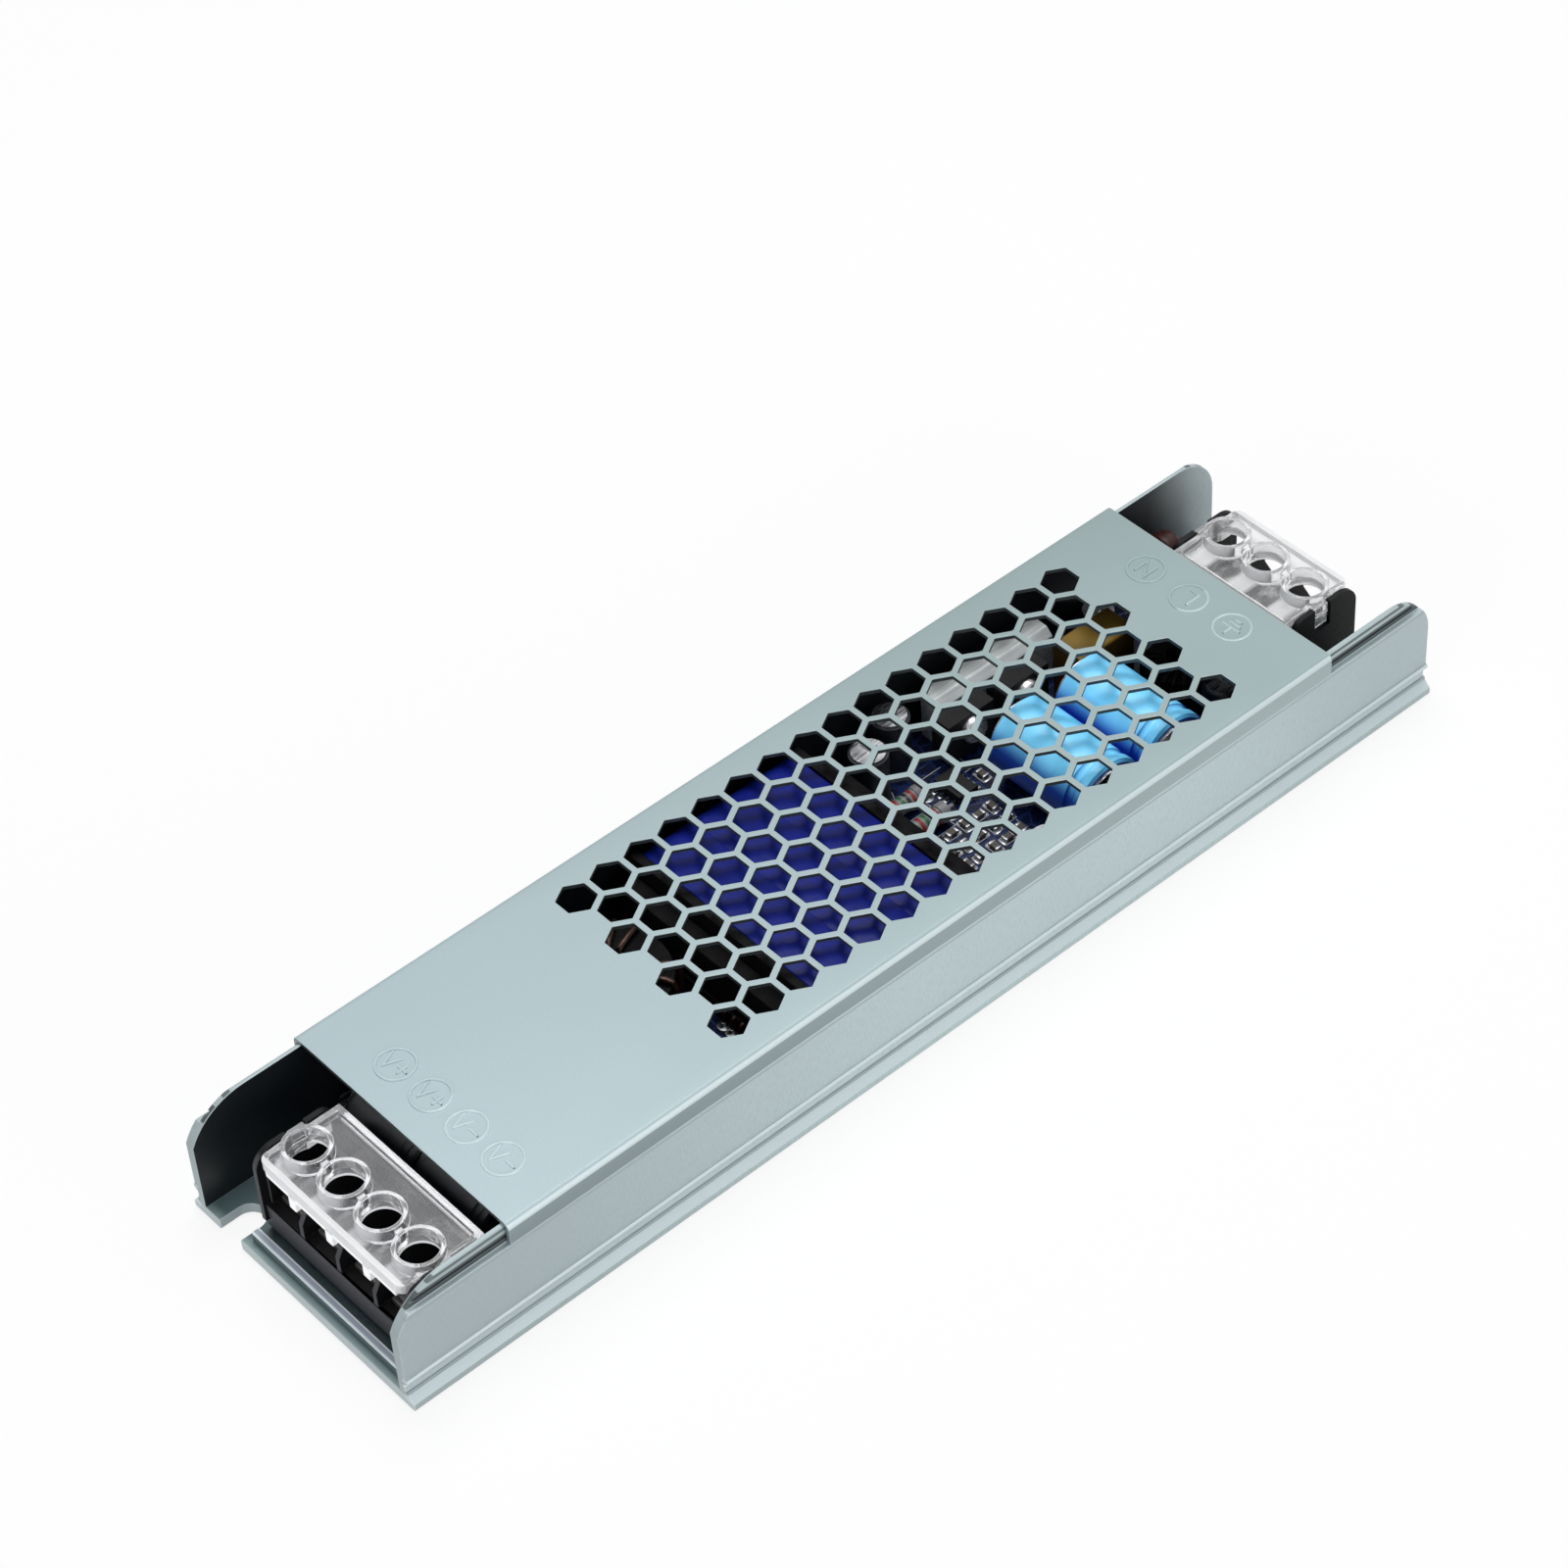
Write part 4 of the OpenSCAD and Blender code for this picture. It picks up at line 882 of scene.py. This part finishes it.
def tube(bm, path, radius, sides):
    """A round wire along any path."""
    path = [Vector(p) for p in path]
    last = len(path) - 1
    rings = []
    across = None
    for i, point in enumerate(path):
        ahead = (path[min(i + 1, last)] - path[max(i - 1, 0)]).normalized()
        if across is None:
            across = ahead.orthogonal()
        across = (across - ahead * across.dot(ahead)).normalized()
        up = ahead.cross(across)
        ring = []
        for k in range(sides):
            turn = 2 * math.pi * k / sides
            out = across * math.cos(turn) + up * math.sin(turn)
            ring.append(bm.verts.new((point + out * radius) * MM))
        rings.append(ring)
    skin(bm, rings)


def lathe(bm, profile, spot, axis, sides, hoop=False):
    """Turns (radius, height) points round an axis through spot; a radius of 0 closes an end.
    A hoop's last point joins its first."""
    turn = turned_to(axis)
    rings = []
    for radius, height in profile:
        count = sides if radius else 1
        ring = []
        for k in range(count):
            angle = 2 * math.pi * k / sides
            point = Vector((radius * math.cos(angle), radius * math.sin(angle), height))
            ring.append(bm.verts.new((Vector(spot) + turn @ point) * MM))
        rings.append(ring)
    for a, b in zip(rings, rings[1:] + (rings[:1] if hoop else [])):
        for k in range(sides):
            j = (k + 1) % sides
            corners = [a[k % len(a)], a[j % len(a)], b[j % len(b)], b[k % len(b)]]
            bm.faces.new(dict.fromkeys(corners))


def slab(bm, low, high, bevel):
    """A box between two corners, with rounded edges."""
    made = bmesh.ops.create_cube(bm, size=1.0)["verts"]
    low, high = Vector(low), Vector(high)
    for vert in made:
        spot = [(low[i] + high[i]) / 2 + vert.co[i] * (high[i] - low[i]) for i in range(3)]
        vert.co = Vector(spot) * MM
    edges = list({e for v in made for e in v.link_edges})
    bmesh.ops.bevel(
        bm, geom=edges, offset=bevel * MM, segments=BEVEL_STEPS, affect="EDGES", profile=0.5
    )


def ring_path(centre, radius, count, height):
    x, y = centre
    turns = [2 * math.pi * k / count for k in range(count)]
    return [(x + radius * math.cos(t), y + radius * math.sin(t), height) for t in turns]


# Raised terminal marks on the lid

MARK_RING_R = 3.1
MARK_RING_STEPS = 64
MARK_LINE = 0.42
SIGN_LINE = 0.36
MARK_RISE = 0.24
MARK_SINK = 0.05
MARK_STEPS = 5
MARK_ROWS = [
    # end, place along the lid, places across it, signs, way that they read
    ("dc", -77.3, (10.0, 1.7, -6.7, -15.0), ("plus", "plus", "minus", "minus"), -1),
    ("ac", 76.2, (9.7, 0.0, -9.6), ("neutral", "live", "earth"), 1),
]
VEE = [(-2.3, 1.4), (-1.2, -1.4), (-0.1, 1.4)]
MINUS = [(0.5, 0.0), (2.5, 0.0)]
STROKE = [(1.5, -1.0), (1.5, 1.0)]
GLYPHS = {
    "plus": [VEE, MINUS, STROKE],
    "minus": [VEE, MINUS],
    "neutral": [[(-1.1, -1.5), (-1.1, 1.5), (1.1, -1.5), (1.1, 1.5)]],
    "live": [[(-0.8, 1.5), (-0.8, -1.5), (1.0, -1.5)]],
    "earth": [
        [(0.0, 2.0), (0.0, 0.2)], [(-1.8, 0.2), (1.8, 0.2)],
        [(-1.2, -0.7), (1.2, -0.7)], [(-0.6, -1.6), (0.6, -1.6)],
    ],
}


def bead_profile(width):
    """A half-round line that reaches a little below the face it stands on."""
    turns = [math.pi * k / MARK_STEPS for k in range(MARK_STEPS + 1)]
    arch = [(width / 2 * math.cos(t), MARK_RISE * math.sin(t)) for t in turns]
    return arch + [(-width / 2, -MARK_SINK), (width / 2, -MARK_SINK)]


def add_mark(name, centre, glyph, across):
    """A ring with a sign in it, read from the end of the lid that it stands by."""
    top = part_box("perforated_lid")[1].z / MM
    bm = bmesh.new()
    ring = ring_path(centre, MARK_RING_R, MARK_RING_STEPS, top)
    sweep(bm, ring, bead_profile(MARK_LINE), True)
    for stroke in GLYPHS[glyph]:
        path = [(centre[0] - across * v, centre[1] + across * u, top) for u, v in stroke]
        sweep(bm, path, bead_profile(SIGN_LINE))
    add_piece(name, bm, "mark")


# Board: printed lines, chip ends, resistor bands and solder

BOARD_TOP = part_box("circuit_board")[1].z / MM
INK_LINE = 0.18
INK_RISE = 0.03
INK_TOP = 0.7
CHIP_SIZE = (2.0, 1.2, 0.8)
CHIP_START = (18.2, 0.2)
CHIP_STEP = (2.9, 3.4)
CHIP_ROWS = 3
CHIP_COLUMNS = 6
SIDE_CHIP_START = (36.5, 6.5)
SIDE_CHIPS = 4
# x, y, and 1 for a chip that lies across the board
CHIP_PLACES = [
    (CHIP_START[0] + CHIP_STEP[0] * c, CHIP_START[1] - CHIP_STEP[1] * r, (r + c) % 2)
    for r in range(CHIP_ROWS) for c in range(CHIP_COLUMNS)
]
CHIP_PLACES += [
    (SIDE_CHIP_START[0] + CHIP_STEP[0] * c, SIDE_CHIP_START[1], 1) for c in range(SIDE_CHIPS)
]
CHIP_FRAME = (1.3, 0.85)
CHIP_END = 0.42
CHIP_END_LIFT = 0.02
CHIP_SKIN = 0.03
CHIP_BEVEL = 0.05
PAD_OUT = 0.55
PAD_MARGIN = 0.08
PAD_RISE = 0.1
PAD_BEVEL = 0.04
CONTROL_PLACE = (31.25, 7.0)
CONTROL_FRAME = (1.6, 3.3)
CONTROL_DOT = (-2.6, 3.4)
CONTROL_DOT_R = 0.3
DOT_STEPS = 12
CONTROL_PINS = 4
CONTROL_PITCH = 1.3
CONTROL_PAD_X = 2.75
CONTROL_PAD = (0.55, 0.36, 0.14)
RESISTOR_X = 21.6
RESISTOR_Y = (9.0, 3.4, -12.4)
RESISTOR_Z = 7.6
RESISTOR_R = 1.5
RESISTOR_LEAD_X = 5.25
RESISTOR_FRAME = (4.3, 2.0)
# Radius beyond the resistor's and place along it
BAND_PROFILE = [(-0.17, -0.34), (0.03, -0.3), (0.05, 0.0), (0.03, 0.3), (-0.17, 0.34)]
BANDS = [("band_red", -1.6), ("band_green", -0.45), ("band_dark", 0.6), ("band_red", 1.65)]
SMALL_CANS = [(28.0, 18.6), (20.0, 14.8), (27.0, -18.6), (71.0, -12.8)]
SMALL_CAN_RING = 3.7
CAN_STEPS = 40
BULK_CAN_X = (42.5, 56.8)
BULK_LEAD_X = 2.5
BULK_LEAD_Y = -17.2
THIN_WIRE = 0.35
THICK_WIRE = 0.4
# Radius beyond the wire's and height
SOLDER_PROFILE = [(0.75, 0.0), (0.4, 0.12), (0.16, 0.4), (0.02, 0.75), (-0.1, 0.8)]
WINDING_LEADS = range(-3, 4)
LEAD_X = -28.35
LEAD_MID = -11.0
LEAD_STEP = 1.9
BOARD_LINES = [
    (15.6, -9.6, 33.6, -9.6), (33.6, -9.6, 33.6, -4.4), (16.0, 12.2, 26.0, 12.2),
    (26.0, 12.2, 26.0, 10.4), (28.0, 12.6, 33.0, 12.6), (15.6, -15.4, 22.0, -15.4),
    (22.0, -15.4, 22.0, -20.0), (35.0, 9.0, 46.4, 9.0), (30.0, -14.6, 34.6, -14.6),
    (34.6, -14.6, 34.6, -21.0), (36.6, 12.8, 36.6, 10.0), (-55.0, -12.0, -30.0, -12.0),
]


def frame_path(x, y, half_x, half_y):
    return [(x + half_x * a, y + half_y * b, BOARD_TOP) for a, b in CORNERS]


def add_board_print():
    """White lines printed on the board, round its parts and between them."""
    bm = bmesh.new()
    half = INK_LINE / 2
    flat = half * INK_TOP
    line = [(half, 0.0), (flat, INK_RISE), (-flat, INK_RISE), (-half, 0.0)]
    x, y = CONTROL_PLACE
    loops = [
        frame_path(cx, cy, *(CHIP_FRAME[::-1] if turned else CHIP_FRAME))
        for cx, cy, turned in CHIP_PLACES
    ]
    loops += [frame_path(RESISTOR_X, ry, *RESISTOR_FRAME) for ry in RESISTOR_Y]
    loops.append(frame_path(x, y, *CONTROL_FRAME))
    dot = (x + CONTROL_DOT[0], y + CONTROL_DOT[1])
    loops.append(ring_path(dot, CONTROL_DOT_R, DOT_STEPS, BOARD_TOP))
    for spot in SMALL_CANS:
        loops.append(ring_path(spot, SMALL_CAN_RING, CAN_STEPS, BOARD_TOP))
    for loop in loops:
        sweep(bm, loop, line, True)
    for x0, y0, x1, y1 in BOARD_LINES:
        sweep(bm, [(x0, y0, BOARD_TOP), (x1, y1, BOARD_TOP)], line)
    add_piece("board_print", bm, "ink")


def add_chip_ends():
    """Tinned ends and solder of the chip parts."""
    bm = bmesh.new()
    length, width, height = CHIP_SIZE
    wide = width / 2 + CHIP_SKIN
    # reach past the chip's end, half width, lowest, highest, rounding
    shapes = (
        (CHIP_SKIN, wide, CHIP_END_LIFT, height + CHIP_SKIN, CHIP_BEVEL),
        (PAD_OUT, wide + PAD_MARGIN, 0.0, PAD_RISE, PAD_BEVEL),
    )
    for x, y, turned in CHIP_PLACES:
        for side in (-1, 1):
            near = side * (length / 2 - CHIP_END)
            for out, half, bottom, top, bevel in shapes:
                far = side * (length / 2 + out)
                low, high = (min(near, far), -half), (max(near, far), half)
                if turned:
                    low, high = low[::-1], high[::-1]
                slab(
                    bm,
                    (x + low[0], y + low[1], BOARD_TOP + bottom),
                    (x + high[0], y + high[1], BOARD_TOP + top),
                    bevel,
                )
    add_piece("chip_ends", bm, "tin")


def add_resistor_bands():
    profile = [(RESISTOR_R + out, at) for out, at in BAND_PROFILE]
    for i, y in enumerate(RESISTOR_Y):
        for k, (paint, at) in enumerate(BANDS):
            bm = bmesh.new()
            lathe(bm, profile, (RESISTOR_X + at, y, RESISTOR_Z), (1, 0, 0), sides=24, hoop=True)
            add_piece(f"resistor_{i + 1}_band_{k + 1}", bm, paint)


def solder_cone(bm, x, y, wire):
    profile = [(wire + out, height) for out, height in SOLDER_PROFILE]
    closed = [(0, profile[0][1])] + profile + [(0, profile[-1][1])]
    lathe(bm, closed, (x, y, BOARD_TOP), (0, 0, 1), sides=20)


def add_solder():
    """Solder of the leads, and pads of the control chip."""
    bm = bmesh.new()
    for y in RESISTOR_Y:
        for side in (-1, 1):
            solder_cone(bm, RESISTOR_X + side * RESISTOR_LEAD_X, y, THIN_WIRE)
    for x in BULK_CAN_X:
        for side in (-1, 1):
            solder_cone(bm, x + side * BULK_LEAD_X, BULK_LEAD_Y, THICK_WIRE)
    for k in WINDING_LEADS:
        solder_cone(bm, LEAD_X, LEAD_STEP * k + LEAD_MID, THIN_WIRE)
    half_x, half_y, rise = CONTROL_PAD
    for side in (-1, 1):
        x = CONTROL_PLACE[0] + side * CONTROL_PAD_X
        for k in range(CONTROL_PINS):
            y = CONTROL_PLACE[1] + (k - (CONTROL_PINS - 1) / 2) * CONTROL_PITCH
            low = (x - half_x, y - half_y, BOARD_TOP)
            slab(bm, low, (x + half_x, y + half_y, BOARD_TOP + rise), CHIP_BEVEL)
    add_piece("solder_joints", bm, "tin")


# Transformer: tape turns and wire ends

TAPE_SKIN = 0.07
TAPE_SINK = -0.05
TAPE_LIP = 0.08
TAPE_LIP_SKIN = 0.8
TAPE_ROUND = 2.6
TAPE_STEPS = 8
# start and end along the winding, thickness
TAPE_SPANS = [(0.25, 10.6, 1.0), (10.2, 20.7, 1.7), (20.3, 30.7, 1.0)]
WINDING_WIRE_R = 0.32
# x and z of the wire, from the bobbin's ledge down into the board
WINDING_WIRE = [(-27.6, 8.3), (-27.95, 8.25), (-28.2, 8.0), (LEAD_X, 7.5)]
WINDING_WIRE.append((LEAD_X, BOARD_TOP - 0.1))


def tape_loop(x, low, high, stand):
    """Closed outline of the winding at one place along it, standing off its face."""
    points = []
    for sy, sz, start in ((1, 1, 0.0), (-1, 1, 0.5), (-1, -1, 1.0), (1, -1, 1.5)):
        cy = (high.y if sy > 0 else low.y) - sy * TAPE_ROUND
        cz = (high.z if sz > 0 else low.z) - sz * TAPE_ROUND
        for k in range(TAPE_STEPS + 1):
            turn = math.pi * (start + 0.5 * k / TAPE_STEPS)
            r = TAPE_ROUND + stand
            points.append((x, cy + r * math.cos(turn), cz + r * math.sin(turn)))
    return points


def add_tape_turns():
    low, high = (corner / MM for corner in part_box("transformer_winding"))
    for i, (a, b, thick) in enumerate(TAPE_SPANS):
        bm = bmesh.new()
        stand = TAPE_SKIN * thick
        lip = stand * TAPE_LIP_SKIN
        rings = []
        for x, out in (
            (a, TAPE_SINK), (a, lip), (a + TAPE_LIP, stand),
            (b - TAPE_LIP, stand), (b, lip), (b, TAPE_SINK),
        ):
            loop = tape_loop(low.x + x, low, high, out)
            rings.append([bm.verts.new(Vector(p) * MM) for p in loop])
        skin(bm, rings, True)
        add_piece(f"tape_turn_{i + 1}", bm, "tape")


def add_winding_ends():
    """Copper ends that leave the bobbin's ledge and go down to the board."""
    bm = bmesh.new()
    for k in WINDING_LEADS:
        y = LEAD_MID + LEAD_STEP * k
        tube(bm, [(x, y, z) for x, z in WINDING_WIRE], WINDING_WIRE_R, sides=10)
    add_piece("winding_ends", bm, "coil")


# Chokes: round wire in place of the plain wraps

COIL_GAP = 0.2
COIL_STEPS = 40
COIL_CORNER = 0.9
COIL_PULL = 0.25
# centre, foot, core's outer and inner width, core's height, room for the wire
OUTPUT_CHOKE = ((-40.6, 7.0), 7.0, 21.0, 11.0, 9.4, 1.1)
LINE_CHOKE = ((72.0, -2.6), 6.7, 11.5, 6.0, 7.0, 0.7)
OUTPUT_WIRE_R = 0.54
OUTPUT_WRAPS = 16
OUTPUT_ANGLES = (18, 342)
LINE_WIRE_R = 0.34
LINE_WRAPS = 8
LINE_STARTS = (-62, 118)
LINE_SWEEP = 124


def coil_path(choke, angles, wraps):
    """A wire wound round a ring core, as points."""
    (x, y), foot, outer, bore, height, wire = choke
    stand = COIL_GAP + wire / 2
    r_in, r_out = bore / 2 - stand, outer / 2 + stand
    z_low, z_high = foot - stand, foot + height + stand
    corner = COIL_CORNER * wire
    mid_r, mid_z = (r_in + r_out) / 2, (z_low + z_high) / 2
    half_r, half_z = (r_out - r_in) / 2, (z_high - z_low) / 2
    total = wraps * COIL_STEPS
    points = []
    for i in range(total + 1):
        turn = 2 * math.pi * (i % COIL_STEPS) / COIL_STEPS
        c, s = math.cos(turn), math.sin(turn)
        reach = max(abs(c) / half_r, abs(s) / half_z)
        u, v = c / reach, s / reach
        if half_r - abs(u) < corner and half_z - abs(v) < corner:
            u -= math.copysign(corner * COIL_PULL, u)
            v -= math.copysign(corner * COIL_PULL, v)
        around = math.radians(angles[0] + (angles[1] - angles[0]) * i / total)
        r = mid_r + u
        points.append((x + r * math.cos(around), y + r * math.sin(around), mid_z + v))
    return points


def add_coils():
    bm = bmesh.new()
    path = coil_path(OUTPUT_CHOKE, OUTPUT_ANGLES, OUTPUT_WRAPS)
    tube(bm, path, OUTPUT_WIRE_R, sides=10)
    winding = add_piece("output_choke_wire", bm, "coil")
    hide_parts("output_choke_coil")
    bm = bmesh.new()
    for start in LINE_STARTS:
        path = coil_path(LINE_CHOKE, (start, start + LINE_SWEEP), LINE_WRAPS)
        tube(bm, path, LINE_WIRE_R, sides=8)
    winding = add_piece("line_choke_wire", bm, "coil_dark")
    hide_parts("line_choke_coil")


# Fasteners

BOLT_SIDES = 36
# Shares of the head's radius and height
BOLT_PROFILE = [(1.0, 0.0), (1.0, 0.6), (0.93, 0.85), (0.8, 1.0)]
SOCKET_R = 1.25
SOCKET_TAPER = 0.96
SOCKET_DEEP = 0.9
CLAMP_BOLT = (2.6, 1.7)
CLAMP_BOLT_X = (-46.6, -34.6)
CLAMP_BOLT_Z = 10.5
CLAMP_BOLT_IN = 1.42
PACK_BOLT = (2.4, 1.5)
PACK_BOLT_X = (39.0, 51.0)
PACK_BOLT_Z = 11.2
PACK_BOLT_OUT = 0.02
THREAD_TURNS = 6
THREAD_STEPS = 24
THREAD_FADE = 12
THREAD_START = 0.55
THREAD_PITCH = 0.6
THREAD_HALF = 0.26
THREAD_RISE = 0.18
THREAD_SINK = 0.05
SHANK_R = 1.7


def hexagon(angle):
    """Reach of a hexagon at an angle, as a share of its corner's."""
    sixth = math.pi / 6
    return math.cos(sixth) / math.cos(angle % (2 * sixth) - sixth)


def bolt(bm, spot, axis, head_r, head_h):
    """A pan head with a six-sided socket, standing on spot and facing along axis."""
    turn = turned_to(axis)
    outline = [(head_r * wide, head_h * up, False) for wide, up in BOLT_PROFILE]
    outline.append((SOCKET_R, head_h, True))
    outline.append((SOCKET_R * SOCKET_TAPER, head_h - SOCKET_DEEP, True))
    rings = []
    for radius, height, socket in outline:
        ring = []
        for k in range(BOLT_SIDES):
            angle = 2 * math.pi * k / BOLT_SIDES
            r = radius * hexagon(angle) if socket else radius
            point = Vector((r * math.cos(angle), r * math.sin(angle), height))
            ring.append(bm.verts.new((Vector(spot) + turn @ point) * MM))
        rings.append(ring)
    skin(bm, rings)


def add_bolts():
    clamp_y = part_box("rectifier_clamp")[0].y / MM + CLAMP_BOLT_IN
    pack_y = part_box("power_transistors")[0].y / MM - PACK_BOLT_OUT
    bm = bmesh.new()
    for x in CLAMP_BOLT_X:
        bolt(bm, (x, clamp_y, CLAMP_BOLT_Z), (0, 1, 0), *CLAMP_BOLT)
    for x in PACK_BOLT_X:
        bolt(bm, (x, pack_y, PACK_BOLT_Z), (0, -1, 0), *PACK_BOLT)
    add_piece("bolts", bm, "zinc")


def thread(bm, x, y, bottom):
    """A ridge that winds up a shank, and fades out at both ends."""
    last = THREAD_TURNS * THREAD_STEPS
    base = SHANK_R - THREAD_SINK
    rings = []
    for k in range(last + 1):
        turn = 2 * math.pi * k / THREAD_STEPS
        z = bottom + THREAD_PITCH * k / THREAD_STEPS
        taper = min(1.0, k / THREAD_FADE, (last - k) / THREAD_FADE)
        crest = base + (THREAD_SINK + THREAD_RISE) * taper
        ring = []
        for r, up in ((base, -THREAD_HALF), (crest, 0.0), (base, THREAD_HALF)):
            point = Vector((x + r * math.cos(turn), y + r * math.sin(turn), z + up))
            ring.append(bm.verts.new(point * MM))
        rings.append(ring)
    skin(bm, rings)


def add_threads():
    """Thread ridges on the shank of each terminal screw."""
    for end, ways in (("dc", DC_WAYS), ("ac", AC_WAYS)):
        for i in range(ways):
            screw = f"{end}_screw_{i + 1}"
            low, high = (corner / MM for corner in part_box(screw))
            mid = (low + high) / 2
            bm = bmesh.new()
            thread(bm, mid.x, mid.y, low.z + THREAD_START)
            add_piece(f"{end}_thread_{i + 1}", bm, "screw", screw)


# Output capacitors: vents and sleeve lips

OUTPUT_CAN_X = (-58.2, -68.8, -79.4)
OUTPUT_CAN_Y = (-16.6, 0.0)
OUTPUT_CAN_Z = 10.8
VENT_Y = 16.4
VENT_REACH = 2.6
VENT_LINE_R = 0.1
VENT_TURNS = (90, 210, 330)
# Radius and place along the can
LIP_PROFILE = [(4.3, 15.9), (4.4, 16.05), (4.8, 15.95), (5.06, 15.5), (5.06, 15.0), (4.9, 14.9)]


def add_vents():
    """Score lines on the bright ends of the output capacitors, and the lips of their sleeves."""
    bm = bmesh.new()
    lips = bmesh.new()
    for x in OUTPUT_CAN_X:
        for y in OUTPUT_CAN_Y:
            top = y + VENT_Y
            for degrees in VENT_TURNS:
                turn = math.radians(degrees)
                out, up = VENT_REACH * math.cos(turn), VENT_REACH * math.sin(turn)
                path = [(x, top, OUTPUT_CAN_Z), (x + out, top, OUTPUT_CAN_Z + up)]
                tube(bm, path, VENT_LINE_R, sides=6)
            lathe(lips, LIP_PROFILE, (x, y, OUTPUT_CAN_Z), (0, 1, 0), CAN_STEPS, hoop=True)
    add_piece("capacitor_vents", bm, "screw")
    add_piece("capacitor_lips", lips, "sleeve_dark")


for end, x, places, signs, across in MARK_ROWS:
    for i, (y, sign) in enumerate(zip(places, signs)):
        add_mark(f"{end}_mark_{i + 1}", (x, y), sign, across)
add_board_print()
add_chip_ends()
add_resistor_bands()
add_solder()
add_tape_turns()
add_winding_ends()
add_coils()
add_bolts()
add_threads()
add_vents()
